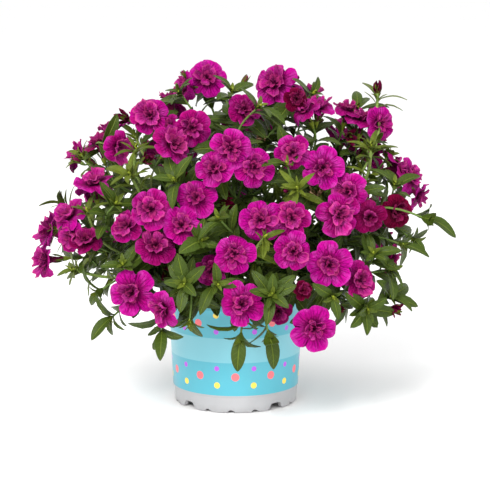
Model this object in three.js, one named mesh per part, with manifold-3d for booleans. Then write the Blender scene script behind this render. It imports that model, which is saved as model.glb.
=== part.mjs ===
// A double-flowered calibrachoa in full bloom, rooted in the potting mix of a plastic pot.
// Millimetres, +Z up, the front faces -Y, and the origin is on the pot's axis at the surface it stands on.
import Module from "manifold-3d";
import * as THREE from "three";
import { mergeVertices } from "three/addons/utils/BufferGeometryUtils.js";

const wasm = await Module();
wasm.setup();

// ---------------------------------------------------------------- driving dimensions

const POT = {
  height: 88,
  rimRadius: 55,
  rimBand: 7, // height of the thickened rim
  rimStep: 1.2, // how far the rim stands out of the wall
  footRadius: 49,
  footStep: 0.8, // how far the wall stands out of the foot ring
  footHeight: 13,
  footWidth: 3.5, // of the ring that the pot stands on
  taper: 0.6, // how far the foot flares over its height, and the rim's lower edge over its own
  wall: 1.6,
  floorUnder: 5.5, // height of the floor's underside
  segments: 32,
};
const FOOT = {
  archCount: 4,
  archWidth: 9,
  archHeight: 5,
  archTurn: -4, // degrees that the arches are turned from the diagonals
  notchesPerPad: 3,
  notchWidth: 3,
  notchHeight: 1.8,
};
const DRAIN = { count: 6, radius: 4, ring: 26, sides: 10 };
const SOIL = { top: 79, mound: 3, shoulder: 0.72, gap: 0.3, holeDepth: 16, holeRadius: 2.7, holeSides: 6 };

// The mound that the open blooms and leafy tips lie on.
const MOUND = { centre: new THREE.Vector3(0, 2, 112), radii: new THREE.Vector3(150, 122, 144) };
// Front blooms and tips are placed by sight: right and up in the upright plane through the pot's axis,
// seen from this point.
const EYE = new THREE.Vector3(7.5, -1300, 336);

// Leafy stems rise from the potting mix in rings: how many, how far they lean from level, and how far
// out they stand in the mix.
const STEM_RINGS = [
  { count: 6, rise: 4, turn: 30, root: 30 },
  { count: 3, rise: 44, turn: 0, root: 14 },
  { count: 1, rise: 88, turn: 0, root: 0 },
];
const STEM = { reach: 0.58, baseRadius: 2.1, tipRadius: 1.4, sides: 3, joints: 6, archOver: 22, lean: 4 };
const TWIG = {
  root: 0.6, // thin enough to lie inside the stem
  radius: 1.05,
  neck: 0.95,
  sides: 3,
  calyxLength: 7,
  calyxRadius: 2.3,
  tipLength: 11,
  tipRadius: 0.9,
  stemsTried: [3, 6], // without, and then with, crossing other twigs of its own stem
  starts: [0.9, 0.7, 0.5, 0.97, 0.8, 0.6, 0.4], // shares of the main stem's length
  shiftsTried: 18,
  bows: [0.42, 0.22],
  sways: [0, 0.2, -0.2], // sideways, as a share of the twig's length
};
const TUBE_END = 0.85; // length of a bloom's tube behind its face, in bloom radii
const SEAT_GAP = 0.3; // between a bloom's tube and its calyx
const LEAF = {
  widthShare: 0.37,
  thickness: 1.1,
  gap: 1.3, // between leaves along a tip
  endGap: 0.6, // between the last leaf and the tip's end
  sunk: 0.35, // how far its root lies beyond the twig's axis
  spreads: [68, 24], // degrees off the tip's axis, from the lowest leaf to the uppermost
  loneSpread: 12, // the same, where a tip has one leaf
  shortened: 0.35, // share of the length that the uppermost leaf lacks
  goldenTurn: 0.382, // from one leaf of a tip to the next, in turns
  stalkSpread: 57,
  stalkLengths: [20, 27],
  // how far each variant is turned, in turns, and its share of the length
  variants: [
    [0, 1],
    [0.05, 1],
    [-0.05, 1],
    [0.1, 0.9],
    [-0.1, 0.9],
    [0, 0.78],
  ],
};
const CLEARANCE = 0.3; // between pieces of two different nodes
const FINEST_STEP = 0.05; // vertices that move a surface by less are left out
// Neighbouring blooms are pressed together in clusters until no more clusters are left than named here.
const CLUSTER = {
  count: 47,
  largest: 3,
  shared: 1.5, // the least volume that two pressed blooms share, in mm3
  neighbours: 5, // how many are tried
  steps: [1, 2, 3, 4, 5, 6, 7, 8, 10, 12], // towards the neighbour
  lifts: [0, -4, 4, -8, 8], // inwards
  spare: 2, // how much longer a move may be, for a plainer joint
};

// How far a bloom may move across, up and in from the place it is wanted at, the smallest moves first.
const SHIFTS = [-4, 0, 4]
  .flatMap((across) => [-4, 0, 4].map((rise) => [across, rise]))
  .flatMap(([across, rise]) => [0, -3, 3, -6, 6, 9, 12, 15, 18].map((lift) => [across, rise, lift]))
  .sort((a, b) => effort(a) - effort(b));

function effort([across, rise, lift]) {
  return Math.hypot(across, rise) + 0.5 * Math.abs(lift);
}

// ---------------------------------------------------------------- where blooms and tips are

// Front blooms: right, up, turn (degrees from the front towards the right), rise (degrees above level),
// width across the face as it looks in the upright plane, and how far the bloom lies behind the mound's
// surface.
const FRONT_BLOOMS = [
  [-71, 231, -5, 14, 33, 0],
  [-92, 203, 40, -5, 30, -6],
  [-108, 206, -60, 72, 27, 0],
  [-59, 198, 35, 35, 36, 0],
  [-46, 249, -70, 12, 29, 14],
  [-22, 258, 2, 24, 34, 0],
  [-53, 219, -60, 20, 26, 16],
  [-34, 219, 4, 4, 32, 0],
  [7, 233, 4, 24, 29, 10],
  [4, 211, 6, 2, 35, 0],
  [-17, 187, -10, 20, 34, 0],
  [18, 185, 8, 4, 35, 0],
  [31, 254, -16, 26, 38, 4],
  [43, 246, 10, 10, 21, -12],
  [40, 202, 4, 12, 32, 8],
  [69, 187, 2, 6, 37, -4],
  [91, 172, -25, 4, 33, 6],
  [82, 150, 22, -2, 38, 0],
  [51, 147, 2, 12, 34, 0],
  [113, 140, 4, 2, 29, -4],
  [128, 152, 24, 6, 29, 6],
  [144, 176, 48, 14, 32, 0],
  [126, 187, 105, 15, 34, 20],
  [120, 220, 30, 12, 30, 0],
  [100, 226, 20, 68, 30, 4],
  [85, 235, 40, 70, 26, 4],
  [67, 236, 10, 66, 29, 8],
  [55, 233, -40, 55, 27, 18],
  [151, 154, 60, -30, 27, 4],
  [-113, 175, -25, 70, 33, 0],
  [-133, 158, -40, 48, 32, 0],
  [-132, 132, -38, -8, 28, -4],
  [-152, 113, -68, 0, 35, 66],
  [-113, 127, -10, 48, 29, -4],
  [-68, 158, 2, 12, 35, 0],
  [-87, 140, -30, 24, 30, 2],
  [-64, 124, 8, 30, 36, 0],
  [-43, 141, 4, 26, 35, 0],
  [-31, 163, -4, 22, 34, 4],
  [-83, 86, -8, 8, 41, 0],
  [-58, 72, -42, -6, 33, 2],
  [-1, 118, 6, 4, 36, 0],
  [20, 145, 0, 16, 37, 4],
  [5, 77, 8, 16, 38, 0],
  [46, 120, 0, 8, 33, 0],
  [75, 109, 2, 4, 40, 0],
  [99, 97, 24, 8, 33, 0],
  [63, 57, 2, -4, 40, 0],
  [125, 114, 70, -20, 26, 10],
  [54, 88, 14, 20, 17, 4],
  [34, 72, -8, -10, 26, 14],
  [-20, 104, -10, -5, 29, 16],
];
// Blooms at the back and on top sit in huddles of two or three, spread evenly over the mound.
const BACK_BLOOMS = {
  places: 32,
  lowest: -0.16,
  highest: 0.98,
  phase: 0.4,
  upturn: 0.3,
  widths: [30, 36],
  spacings: [0.92, 0.88, 0.84, 0.8, 0.76, 0.72, 0.68], // the first that holds a huddle together is taken
  stalkLeaves: 1,
};
const TOP_FACING = 0.3; // how far the places by rule reach round towards the front
const FRONT_ROOM = 36; // their least distance from a front bloom or tip
const SKIRT = { up: 130, halfWidth: 100 }; // below this height the mound draws in towards the pot

// Front leafy tips: right, up, turn, rise, number of leaves, length of the longest leaf, and how far
// behind the mound's surface.
const FRONT_TIPS = [
  [-122, 197, -75, 48, 5, 19, 0],
  [-79, 202, 20, 72, 3, 20, 0],
  [-44, 247, -75, 55, 3, 18, 0],
  [-3, 247, 30, 66, 3, 24, 0],
  [18, 235, 60, 40, 2, 22, 0],
  [61, 246, 62, 42, 3, 20, 0],
  [96, 234, 10, 80, 2, 26, 10],
  [112, 239, 40, 84, 2, 24, 0],
  [107, 204, 0, 76, 5, 22, 0],
  [126, 173, 20, 66, 2, 27, 0],
  [41, 189, -30, 60, 2, 26, 0],
  [49, 171, -10, 20, 3, 20, 0],
  [-48, 177, -30, 40, 3, 25, 0],
  [-84, 182, -40, 55, 3, 27, 0],
  [-118, 152, -30, 64, 4, 22, 0],
  [-96, 158, 40, 40, 2, 25, 0],
  [-147, 138, -80, 14, 5, 17, 0],
  [-129, 105, -66, 20, 5, 22, 0],
  [-90, 109, -10, 40, 3, 22, 0],
  [-110, 87, -66, -30, 2, 24, 0],
  [-100, 65, -40, -40, 1, 27, 0],
  [-41, 93, -4, 18, 5, 26, 0],
  [-59, 53, 10, -38, 1, 27, 0],
  [-37, 63, -10, -66, 2, 25, 0],
  [-28, 128, 30, 38, 4, 20, 0],
  [-13, 146, -40, 40, 2, 26, 0],
  [23, 131, 40, 44, 2, 22, 0],
  [29, 85, 6, 22, 5, 26, 0],
  [4, 51, -20, -64, 1, 30, 0],
  [26, 53, 14, -66, 1, 32, 0],
  [-15, 93, 20, 10, 2, 24, 0],
  [105, 73, 24, -4, 5, 28, 0],
  [124, 83, 50, 26, 3, 30, 0],
  [151, 146, 72, -28, 1, 27, -50],
  [132, 121, 66, -26, 1, 26, 0],
  [141, 129, 50, -40, 1, 17, 0],
  [110, 118, 0, 36, 2, 17, 0],
  [124, 105, 56, 14, 2, 24, 0],
  [78, 83, 20, -20, 2, 25, 0],
];
const BACK_TIPS = { places: 20, lowest: -0.5, highest: 0.9, phase: 1.7, leaves: [3, 4], lengths: [22, 29] };

// ---------------------------------------------------------------- small tools

const UP = new THREE.Vector3(0, 0, 1);
const radians = THREE.MathUtils.degToRad;

// Draws in 0..1 that come out the same on every run.
function dice(seed) {
  let state = (seed * 7919 + 104729) % 2147483647;
  return () => {
    state = (state * 16807) % 2147483647;
    return state / 2147483647;
  };
}

function heading(turn, rise) {
  const level = Math.cos(radians(rise));
  return new THREE.Vector3(
    Math.sin(radians(turn)) * level,
    -Math.cos(radians(turn)) * level,
    Math.sin(radians(rise)),
  );
}

// A solid from corner points and triangles, turned right side out.
function solidFrom(points, faces) {
  const vertProperties = new Float32Array(points.flatMap((p) => [p.x, p.y, p.z]));
  const triVerts = new Uint32Array(faces.flat());
  const made = new wasm.Manifold(new wasm.Mesh({ numProp: 3, vertProperties, triVerts }));
  return made.volume() > 0 ? made : solidFrom(points, faces.map(([a, b, c]) => [a, c, b]));
}

// A solid from a closed geometry.
function solidOf(geometry) {
  const bare = new THREE.BufferGeometry();
  bare.setAttribute("position", geometry.getAttribute("position"));
  if (geometry.index) bare.setIndex(geometry.index);
  const merged = mergeVertices(bare, 1e-3);
  const p = merged.getAttribute("position");
  const points = Array.from({ length: p.count }, (_, i) => new THREE.Vector3().fromBufferAttribute(p, i));
  const index = merged.index.array;
  const faces = [];
  for (let i = 0; i < index.length; i += 3) {
    const [a, b, c] = index.subarray(i, i + 3);
    if (a !== b && b !== c && a !== c) faces.push([a, b, c]);
  }
  return solidFrom(points, faces);
}

// A closed skin over rings of points. A ring is { at, points }, where at gives each point's place round
// the ring in turns. The first and last ring are closed by a fan, or come to a single point.
function lofted(rings) {
  const faces = [];
  const starts = [];
  let count = 0;
  for (const { points } of rings) {
    starts.push(count);
    count += points.length;
  }
  for (let r = 0; r + 1 < rings.length; r++) {
    faces.push(...band(rings[r], rings[r + 1], starts[r], starts[r + 1]));
  }
  const last = starts.at(-1);
  for (let i = 2; i < rings[0].points.length; i++) faces.push([0, i, i - 1]);
  for (let i = 2; i < rings.at(-1).points.length; i++) faces.push([last, last + i - 1, last + i]);
  return solidFrom(rings.flatMap((ring) => ring.points), faces);
}

// The triangles between two rings, stepping on along whichever ring lags behind.
function band(low, high, lowStart, highStart) {
  const faces = [];
  const [n, m] = [low.points.length, high.points.length];
  const next = ({ at }, i) => (at.length === 1 || i >= at.length ? Infinity : (at[i + 1] ?? at[0] + 1));
  let [i, j] = [0, 0];
  while ((n > 1 && i < n) || (m > 1 && j < m)) {
    const [a, b] = [lowStart + (i % n), highStart + (j % m)];
    if (next(low, i) <= next(high, j)) {
      i++;
      faces.push([a, lowStart + (i % n), b]);
    } else {
      j++;
      faces.push([a, highStart + (j % m), b]);
    }
  }
  return faces;
}

// A solid rod of straight lengths through the points, with a radius at each.
function rod(points, radii, sides) {
  const at = Array.from({ length: sides }, (_, k) => k / sides);
  let side = null;
  const rings = points.map((middle, i) => {
    const next = points[Math.min(i + 1, points.length - 1)];
    const along = next.clone().sub(points[Math.max(i - 1, 0)]).normalize();
    side = squareTo(along, side ?? (Math.abs(along.z) < 0.9 ? UP : point(1, 0, 0)));
    const round = at.map((turn) => middle.clone().addScaledVector(turned(along, side, turn), radii[i]));
    return { at, points: round };
  });
  return lofted(rings);
}

// The unit vector square to along that lies a share of a turn round from side.
function turned(along, side, turn) {
  const angle = turn * 2 * Math.PI;
  const other = along.clone().cross(side);
  return side.clone().multiplyScalar(Math.cos(angle)).addScaledVector(other, Math.sin(angle));
}

// The unit vector nearest to wish that is square to along.
function squareTo(along, wish) {
  return wish.clone().addScaledVector(along, -along.dot(wish)).normalize();
}

function point(x, y, z) {
  return new THREE.Vector3(x, y, z);
}

// ---------------------------------------------------------------- pot and potting mix

function potSolid() {
  const rim = POT.rimRadius;
  const wallTop = rim - POT.rimStep;
  const foot = POT.footRadius;
  const floorTop = POT.floorUnder + POT.wall;
  const bandFoot = POT.height - POT.rimBand;
  const profile = [
    [0, POT.floorUnder],
    [foot - POT.footWidth - POT.taper, POT.floorUnder],
    [foot - POT.footWidth, 0],
    [foot, 0],
    [foot + POT.taper, POT.footHeight - POT.footStep],
    [foot + POT.taper + POT.footStep, POT.footHeight],
    [wallTop, bandFoot],
    [rim, bandFoot + POT.taper],
    [rim, POT.height],
    [innerRadius(POT.height), POT.height],
    [innerRadius(floorTop), floorTop],
    [0, floorTop],
  ];
  let pot = lathed(profile, POT.segments);
  for (const cut of footCuts()) pot = pot.subtract(cut);
  for (let k = 0; k < DRAIN.count; k++) {
    const angle = (k / DRAIN.count) * 2 * Math.PI;
    const middle = point(DRAIN.ring * Math.cos(angle), DRAIN.ring * Math.sin(angle), POT.floorUnder);
    pot = pot.subtract(drill(middle, DRAIN.radius, 4 * POT.wall, DRAIN.sides));
  }
  return pot;
}

function lathed(profile, segments) {
  const outline = profile.map(([r, z]) => new THREE.Vector2(r, z));
  return solidOf(new THREE.LatheGeometry(outline, segments).rotateX(Math.PI / 2));
}

// An upright round cutter.
function drill(middle, radius, length, sides) {
  const cutter = new THREE.CylinderGeometry(radius, radius, length, sides).rotateX(Math.PI / 2);
  return solidOf(cutter.translate(middle.x, middle.y, middle.z));
}

// The wall's inner radius at a height: it runs straight from the floor to the mouth.
function innerRadius(z) {
  const floor = POT.footRadius - POT.wall;
  const mouth = POT.rimRadius - POT.rimStep - POT.wall;
  return THREE.MathUtils.mapLinear(z, POT.floorUnder + POT.wall, POT.height, floor, mouth);
}

// Arches let water run out between the foot's pads, and small notches break each pad's lower edge.
function footCuts() {
  const cuts = [];
  const cut = (angle, width, height) => {
    const shape = new THREE.Shape([
      new THREE.Vector2((-width - height) / 2, -1),
      new THREE.Vector2((width + height) / 2, -1),
      new THREE.Vector2(width / 2, height),
      new THREE.Vector2(-width / 2, height),
    ]);
    const depth = 3 * POT.footWidth;
    const block = new THREE.ExtrudeGeometry(shape, { depth, bevelEnabled: false });
    block.rotateX(Math.PI / 2).translate(0, POT.footRadius + POT.footWidth, 0).rotateZ(angle);
    cuts.push(solidOf(block));
  };
  const pad = (2 * Math.PI) / FOOT.archCount;
  for (let k = 0; k < FOOT.archCount; k++) {
    const arch = pad * (k + 0.5) + radians(FOOT.archTurn);
    cut(arch, FOOT.archWidth, FOOT.archHeight);
    for (let n = 1; n <= FOOT.notchesPerPad; n++) {
      cut(arch + (pad * n) / (FOOT.notchesPerPad + 1), FOOT.notchWidth, FOOT.notchHeight);
    }
  }
  return cuts;
}

function soilSolid(stems) {
  const floor = POT.floorUnder + POT.wall + SOIL.gap;
  const profile = [
    [0, floor],
    [innerRadius(floor) - SOIL.gap, floor],
    [innerRadius(SOIL.top) - SOIL.gap, SOIL.top],
    [innerRadius(SOIL.top) * SOIL.shoulder, SOIL.top + SOIL.mound / 2],
    [0, SOIL.top + SOIL.mound],
  ];
  let soil = lathed(profile, POT.segments / 2);
  for (const { root } of stems) {
    const length = 2 * (SOIL.holeDepth + SOIL.gap);
    soil = soil.subtract(drill(root.clone().setZ(SOIL.top), SOIL.holeRadius, length, SOIL.holeSides));
  }
  return soil;
}

// ---------------------------------------------------------------- blooms

// Where the line of sight through (right, up) first meets the mound, or passes nearest to it, and how
// much smaller a thing there is than it looks in the upright plane.
function onMound(right, up) {
  const sight = point(right, 0, up).sub(EYE).normalize();
  const from = EYE.clone().sub(MOUND.centre).divide(MOUND.radii);
  const step = sight.clone().divide(MOUND.radii);
  const [a, b, c] = [step.dot(step), from.dot(step), from.dot(from) - 1];
  const reach = (-b - Math.sqrt(Math.max(0, b * b - a * c))) / a;
  const nearness = reach / EYE.distanceTo(point(right, 0, up));
  return { place: EYE.clone().addScaledVector(sight, reach), sight, nearness };
}

// Places spread evenly over the part of the mound that faces away from the front, or that front places
// leave bare.
function backPlaces({ places, lowest, highest, phase }, front) {
  const golden = Math.PI * (3 - Math.sqrt(5));
  return Array.from({ length: places }, (_, k) => {
    const z = THREE.MathUtils.lerp(lowest, highest, (k + 0.5) / places);
    const level = Math.sqrt(1 - z * z);
    const unit = point(Math.cos(golden * k + phase) * level, Math.sin(golden * k + phase) * level, z);
    const place = unit.clone().multiply(MOUND.radii).add(MOUND.centre);
    return { place, out: unit.divide(MOUND.radii).normalize(), k };
  }).filter(({ place, out }) => {
    const sight = EYE.clone().sub(place);
    const facing = out.dot(sight.clone().normalize());
    const seen = place.clone().addScaledVector(sight, place.y / -sight.y);
    const below = seen.z < SKIRT.up && Math.abs(seen.x) > SKIRT.halfWidth;
    return facing < TOP_FACING && !below && front.every((taken) => taken.distanceTo(place) > FRONT_ROOM);
  });
}

// The wanted blooms, in groups that are seated together: a place for each, the way in from it, the way
// it faces and its size.
function wantedBlooms() {
  const front = FRONT_BLOOMS.map(([right, up, turn, rise, width, behind], i) => {
    const { place, sight, nearness } = onMound(right, up);
    place.addScaledVector(sight, behind);
    const radius = (width / 2) * nearness;
    return [{ place, inward: sight, axis: heading(turn, rise), radius, seed: i + 1, stalkLeaves: 0 }];
  });
  const taken = front.map(([bloom]) => bloom.place);
  return [...front, ...backPlaces(BACK_BLOOMS, taken).map(wantedHuddle)];
}

// Two or three blooms side by side, each leaning a little outwards. Their distance apart is settled later.
function wantedHuddle({ place, out, k }) {
  const seed = 500 + 10 * k;
  const draw = dice(seed);
  const [small, large] = BACK_BLOOMS.widths;
  const count = 2 + Math.floor(2 * draw());
  const first = draw();
  const axis = out.clone().addScaledVector(UP, BACK_BLOOMS.upturn).normalize();
  const side = axis.clone().cross(UP).normalize();
  return Array.from({ length: count }, (_, i) => {
    const aside = turned(axis, side, -first - i / count);
    const radius = THREE.MathUtils.lerp(small, large, draw()) / 2;
    const lean = 0.1 + 0.25 * draw();
    return {
      place: place.clone(),
      apart: aside.clone().multiplyScalar(radius / Math.sin(Math.PI / count)),
      inward: out.clone().negate(),
      axis: axis.clone().addScaledVector(aside, lean).normalize(),
      radius,
      seed: seed + i,
      stalkLeaves: BACK_BLOOMS.stalkLeaves,
    };
  });
}

// A bloom: five broad lobes flare from a narrow tube, a whorl of five inner petals stands on them, and a
// tight heart fills the throat. Its rings run from the heart over the rim to the tube's end, each point
// as its turn, its distance from the axis and its height in bloom radii.
function bloomSolid({ place, axis, radius, seed }) {
  const draw = dice(seed);
  const spin = draw();
  const lobes = [0, 1, 2, 3, 4].map(() => {
    const reach = 0.94 + 0.1 * draw();
    const lift = -0.08 + 0.2 * draw();
    return { reach, lift, crest: 0.2 + 0.1 * draw() };
  });
  const frame = new THREE.Quaternion().setFromUnitVectors(UP, axis);
  const spot = ([turn, r, z]) => {
    const angle = (turn + spin) * 2 * Math.PI;
    const local = point(r * Math.cos(angle), r * Math.sin(angle), z).multiplyScalar(radius);
    return local.applyQuaternion(frame).add(place);
  };
  const ring = (spots) => ({ at: spots.map(([turn]) => turn), points: spots.map(spot) });
  const threeRing = (r, z) => ring([0, 1, 2].map((k) => [k / 3, r, z]));
  const lobeRing = (shape) => {
    const shifted = (lobe, k) => shape(lobe).map(([turn, r, z]) => [k / lobes.length + turn, r, z]);
    return ring(lobes.flatMap(shifted));
  };
  return lofted([
    ring([[0, 0, 0.1]]),
    threeRing(0.22, 0.3),
    lobeRing(({ crest }) => [
      [0, 0.36, 0.06],
      [0.1, 0.57, crest],
    ]),
    lobeRing(() => [[0, 0.37, -0.03]]),
    lobeRing(({ reach, lift }) => [
      [-0.053, 0.98 * reach, lift],
      [0.053, 0.98 * reach, lift],
      [0.1, 0.75, 0.02],
    ]),
    threeRing(0.27, -0.15),
    ring([[0, 0, -TUBE_END]]),
  ]);
}

// ---------------------------------------------------------------- leafy stems

// The main stems: each rises from its hole in the potting mix and arches out under the mound's surface.
function mainStems() {
  return STEM_RINGS.flatMap(({ count, rise, turn, root }) =>
    Array.from({ length: count }, (_, k) => {
      const way = heading(turn + (360 / count) * k, rise);
      const level = point(way.x, way.y, 0).normalize();
      const start = point(0, 0, SOIL.top - SOIL.holeDepth).addScaledVector(level, root);
      const end = way.clone().multiply(MOUND.radii).multiplyScalar(STEM.reach).add(MOUND.centre);
      const bend = start.clone().setZ((SOIL.top + end.z) / 2 + STEM.archOver);
      bend.addScaledVector(level, STEM.lean);
      const curve = new THREE.QuadraticBezierCurve3(start.clone().setZ(SOIL.top + SOIL.mound), bend, end);
      const joints = [start, ...curve.getPoints(STEM.joints - 1)];
      const thinned = (_, i) => THREE.MathUtils.lerp(STEM.baseRadius, STEM.tipRadius, i / STEM.joints);
      const main = rod(joints, joints.map(thinned), STEM.sides);
      return { root: start, way, curve, main, twigs: [], leaves: [] };
    }),
  );
}

// The ways to reach a twig's end: from each of the stems nearest in direction, from each of several
// points along it, with a wide or a tight bow, and swayed to either side.
function* twigRoutes(stems, end, axis, stemsTried) {
  const way = end.clone().sub(MOUND.centre).divide(MOUND.radii).normalize();
  const near = [...stems].sort((a, b) => b.way.dot(way) - a.way.dot(way)).slice(0, stemsTried);
  for (const sway of TWIG.sways) {
    for (const stem of near) {
      for (const bow of TWIG.bows) {
        for (const share of TWIG.starts) {
          const start = stem.curve.getPoint(share);
          const reach = end.distanceTo(start);
          const aside = axis.clone().cross(end.clone().sub(start)).setLength(sway * reach);
          const bend = end.clone().addScaledVector(axis, -bow * reach).add(aside);
          yield { stem, joints: new THREE.QuadraticBezierCurve3(start, bend, end).getPoints(2) };
        }
      }
    }
  }
}

function twigSolid(joints, last, lastRadius) {
  return rod([...joints, last], [TWIG.root, TWIG.radius, TWIG.neck, lastRadius], TWIG.sides);
}

// A leaf blade with a keel under its midrib: it starts at a point inside the stem, heads along way,
// shows its upper face to sky, and bends over towards its tip.
function leafSolid({ base, way, sky, length, bend }, extra = 0) {
  const across = way.clone().cross(sky);
  const half = (length * LEAF.widthShare) / 2 + extra;
  const deep = LEAF.thickness + 2 * extra;
  const middle = (share) => {
    const rise = bend * length * share * (0.55 - share);
    return base.clone().addScaledVector(way, share * length).addScaledVector(sky, rise + extra);
  };
  const ring = (share, width, depth) => {
    const [left, right] = [width, -width].map((aside) => middle(share).addScaledVector(across, aside));
    return { at: [0, 1 / 3, 2 / 3], points: [left, right, middle(share).addScaledVector(sky, -depth)] };
  };
  const end = (share) => ({ at: [0], points: [middle(share)] });
  const root = end(-LEAF.sunk / length);
  return lofted([root, ring(0.36, half * 0.86, deep), ring(0.7, half * 0.9, deep * 0.8), end(1)]);
}

// A side of an axis to count turns from: the upper one, or the front one where the axis stands upright.
function levelSide(axis) {
  return squareTo(axis, Math.abs(axis.z) < 0.8 ? UP : point(0, -1, 0));
}

// Leaves that a leafy tip can carry, the outer ones longer and more spread. The variants of each turn it
// round the tip or shorten it.
function tipLeaves({ place, axis, leaves, longest, seed }) {
  const draw = dice(seed);
  const first = draw();
  const facing = leaves === 1 ? point(0, -0.45, 0.9) : axis;
  return Array.from({ length: leaves }, (_, k) => {
    const [widest, narrowest] = leaves === 1 ? [LEAF.loneSpread, LEAF.loneSpread] : LEAF.spreads;
    const spread = radians(THREE.MathUtils.lerp(widest, narrowest, k / leaves));
    const length = longest * (1 - (LEAF.shortened * k) / leaves) * (0.92 + 0.16 * draw());
    const bend = 0.3 + 0.4 * draw();
    const base = place.clone().addScaledVector(axis, -LEAF.gap * (leaves - k) - LEAF.endGap);
    return LEAF.variants.map(([turn, share]) => {
      const out = turned(axis, levelSide(axis), first + turn + k * LEAF.goldenTurn);
      const way = axis.clone().multiplyScalar(Math.cos(spread)).addScaledVector(out, Math.sin(spread));
      return { base, way: way.normalize(), sky: squareTo(way, facing), length: length * share, bend };
    });
  });
}

// The leaf that a bloom's stalk can carry at a joint, with variants turned further round the stalk.
function stalkLeaf({ joints, bloom }, joint) {
  const draw = dice(bloom.seed + 31 * joint);
  const first = draw();
  const along = joints[2].clone().sub(joints[0]).normalize();
  const length = THREE.MathUtils.lerp(...LEAF.stalkLengths, draw());
  const bend = 0.3 + 0.4 * draw();
  const spread = radians(LEAF.stalkSpread);
  return LEAF.variants.map(([turn, share]) => {
    const out = turned(along, levelSide(along), first + 3 * turn);
    const way = along.clone().multiplyScalar(Math.cos(spread)).addScaledVector(out, Math.sin(spread));
    return { base: joints[joint].clone(), way, sky: squareTo(way, along), length: length * share, bend };
  });
}

function wantedTips() {
  const front = FRONT_TIPS.map(([right, up, turn, rise, leaves, longest, behind], i) => {
    const { place, sight, nearness } = onMound(right, up);
    place.addScaledVector(sight, behind);
    const axis = heading(turn, rise);
    return { place, inward: sight, axis, leaves, longest: longest * nearness, seed: 1000 + i };
  });
  const taken = front.map((tip) => tip.place);
  const back = backPlaces(BACK_TIPS, taken).map(({ place, out, k }) => {
    const draw = dice(1500 + k);
    const axis = out.clone().addScaledVector(UP, 0.2 + 0.3 * draw()).normalize();
    const [fewest, most] = BACK_TIPS.leaves;
    const leaves = fewest + Math.floor(draw() * (1 + most - fewest));
    const [short, long] = BACK_TIPS.lengths;
    const longest = THREE.MathUtils.lerp(short, long, draw());
    return { place, inward: out.clone().negate(), axis, leaves, longest, seed: 1500 + k };
  });
  return [...front, ...back];
}

// ---------------------------------------------------------------- growing the plant

// The solids placed so far, which a new one is tested against.
class Crowd {
  constructor() {
    this.members = [];
  }

  add(solid, owner) {
    const { min, max } = solid.boundingBox();
    const member = { solid, owner, min, max };
    this.members.push(member);
    return member;
  }

  remove(owner) {
    this.members = this.members.filter((member) => member.owner !== owner);
  }

  // The members whose boxes a solid's box meets.
  near(solid) {
    const { min, max } = solid.boundingBox();
    return this.members.filter((m) => [0, 1, 2].every((i) => m.min[i] < max[i] && min[i] < m.max[i]));
  }

  // The members that a solid would cross.
  met(solid) {
    return this.near(solid).filter((m) => !solid.intersect(m.solid).isEmpty());
  }

  // Whether a solid would cross a member for which barred holds.
  crosses(solid, barred = () => true) {
    return this.near(solid).some((m) => barred(m) && !solid.intersect(m.solid).isEmpty());
  }
}

// Seats each group of blooms clear of the others, then presses lone blooms into their neighbours.
function seatBlooms(crowd, wanted) {
  const clusters = [];
  for (const group of wanted) {
    const huddle = huddled(group);
    const cluster = firstOf(SHIFTS, (shift) => {
      const blooms = huddle.map((bloom) => moved(bloom, shift));
      const solids = blooms.map(bloomSolid);
      return solids.some((solid) => crowd.crosses(solid)) ? null : { blooms, solids };
    });
    if (!cluster) throw new Error("no room for bloom " + group[0].seed);
    cluster.solids.forEach((solid) => crowd.add(solid, cluster));
    clusters.push(cluster);
  }
  for (const lone of clusters) {
    const left = clusters.filter((cluster) => cluster.blooms.length);
    if (lone.blooms.length !== 1 || left.length <= CLUSTER.count) continue;
    const kept = crowd.members;
    crowd.remove(lone);
    const neighbours = left.filter((cluster) => cluster !== lone).flatMap((cluster) => cluster.blooms);
    const pressed = pressInto(crowd, lone.blooms[0], neighbours);
    if (!pressed) {
      crowd.members = kept;
      continue;
    }
    const [cluster, ...others] = pressed.clusters;
    cluster.blooms.push(pressed.bloom);
    cluster.solids.push(pressed.solid);
    crowd.add(pressed.solid, cluster);
    lone.blooms.length = 0;
    for (const other of others) {
      for (const member of crowd.members) if (member.owner === other) member.owner = cluster;
      cluster.blooms.push(...other.blooms.splice(0));
      cluster.solids.push(...other.solids);
    }
  }
  return clusters.filter((cluster) => cluster.blooms.length);
}

// A group of blooms drawn together until it is one body.
function huddled(group) {
  if (group.length === 1) return group;
  return firstOf(BACK_BLOOMS.spacings, (spacing) => {
    const spaced = ({ place, apart }) => place.clone().addScaledVector(apart, spacing);
    const blooms = group.map((bloom) => ({ ...bloom, place: spaced(bloom) }));
    return wasm.Manifold.union(blooms.map(bloomSolid)).decompose().length === 1 && blooms;
  });
}

function firstOf(list, test) {
  for (const item of list) {
    const found = test(item);
    if (found) return found;
  }
  return null;
}

// A bloom or tip moved across, up and in.
function moved(thing, [across, rise, lift]) {
  const right = thing.inward.clone().cross(UP).normalize();
  const up = right.clone().cross(thing.inward);
  const place = thing.place.clone().addScaledVector(right, across).addScaledVector(up, rise);
  return { ...thing, place: place.addScaledVector(thing.inward, lift) };
}

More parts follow.
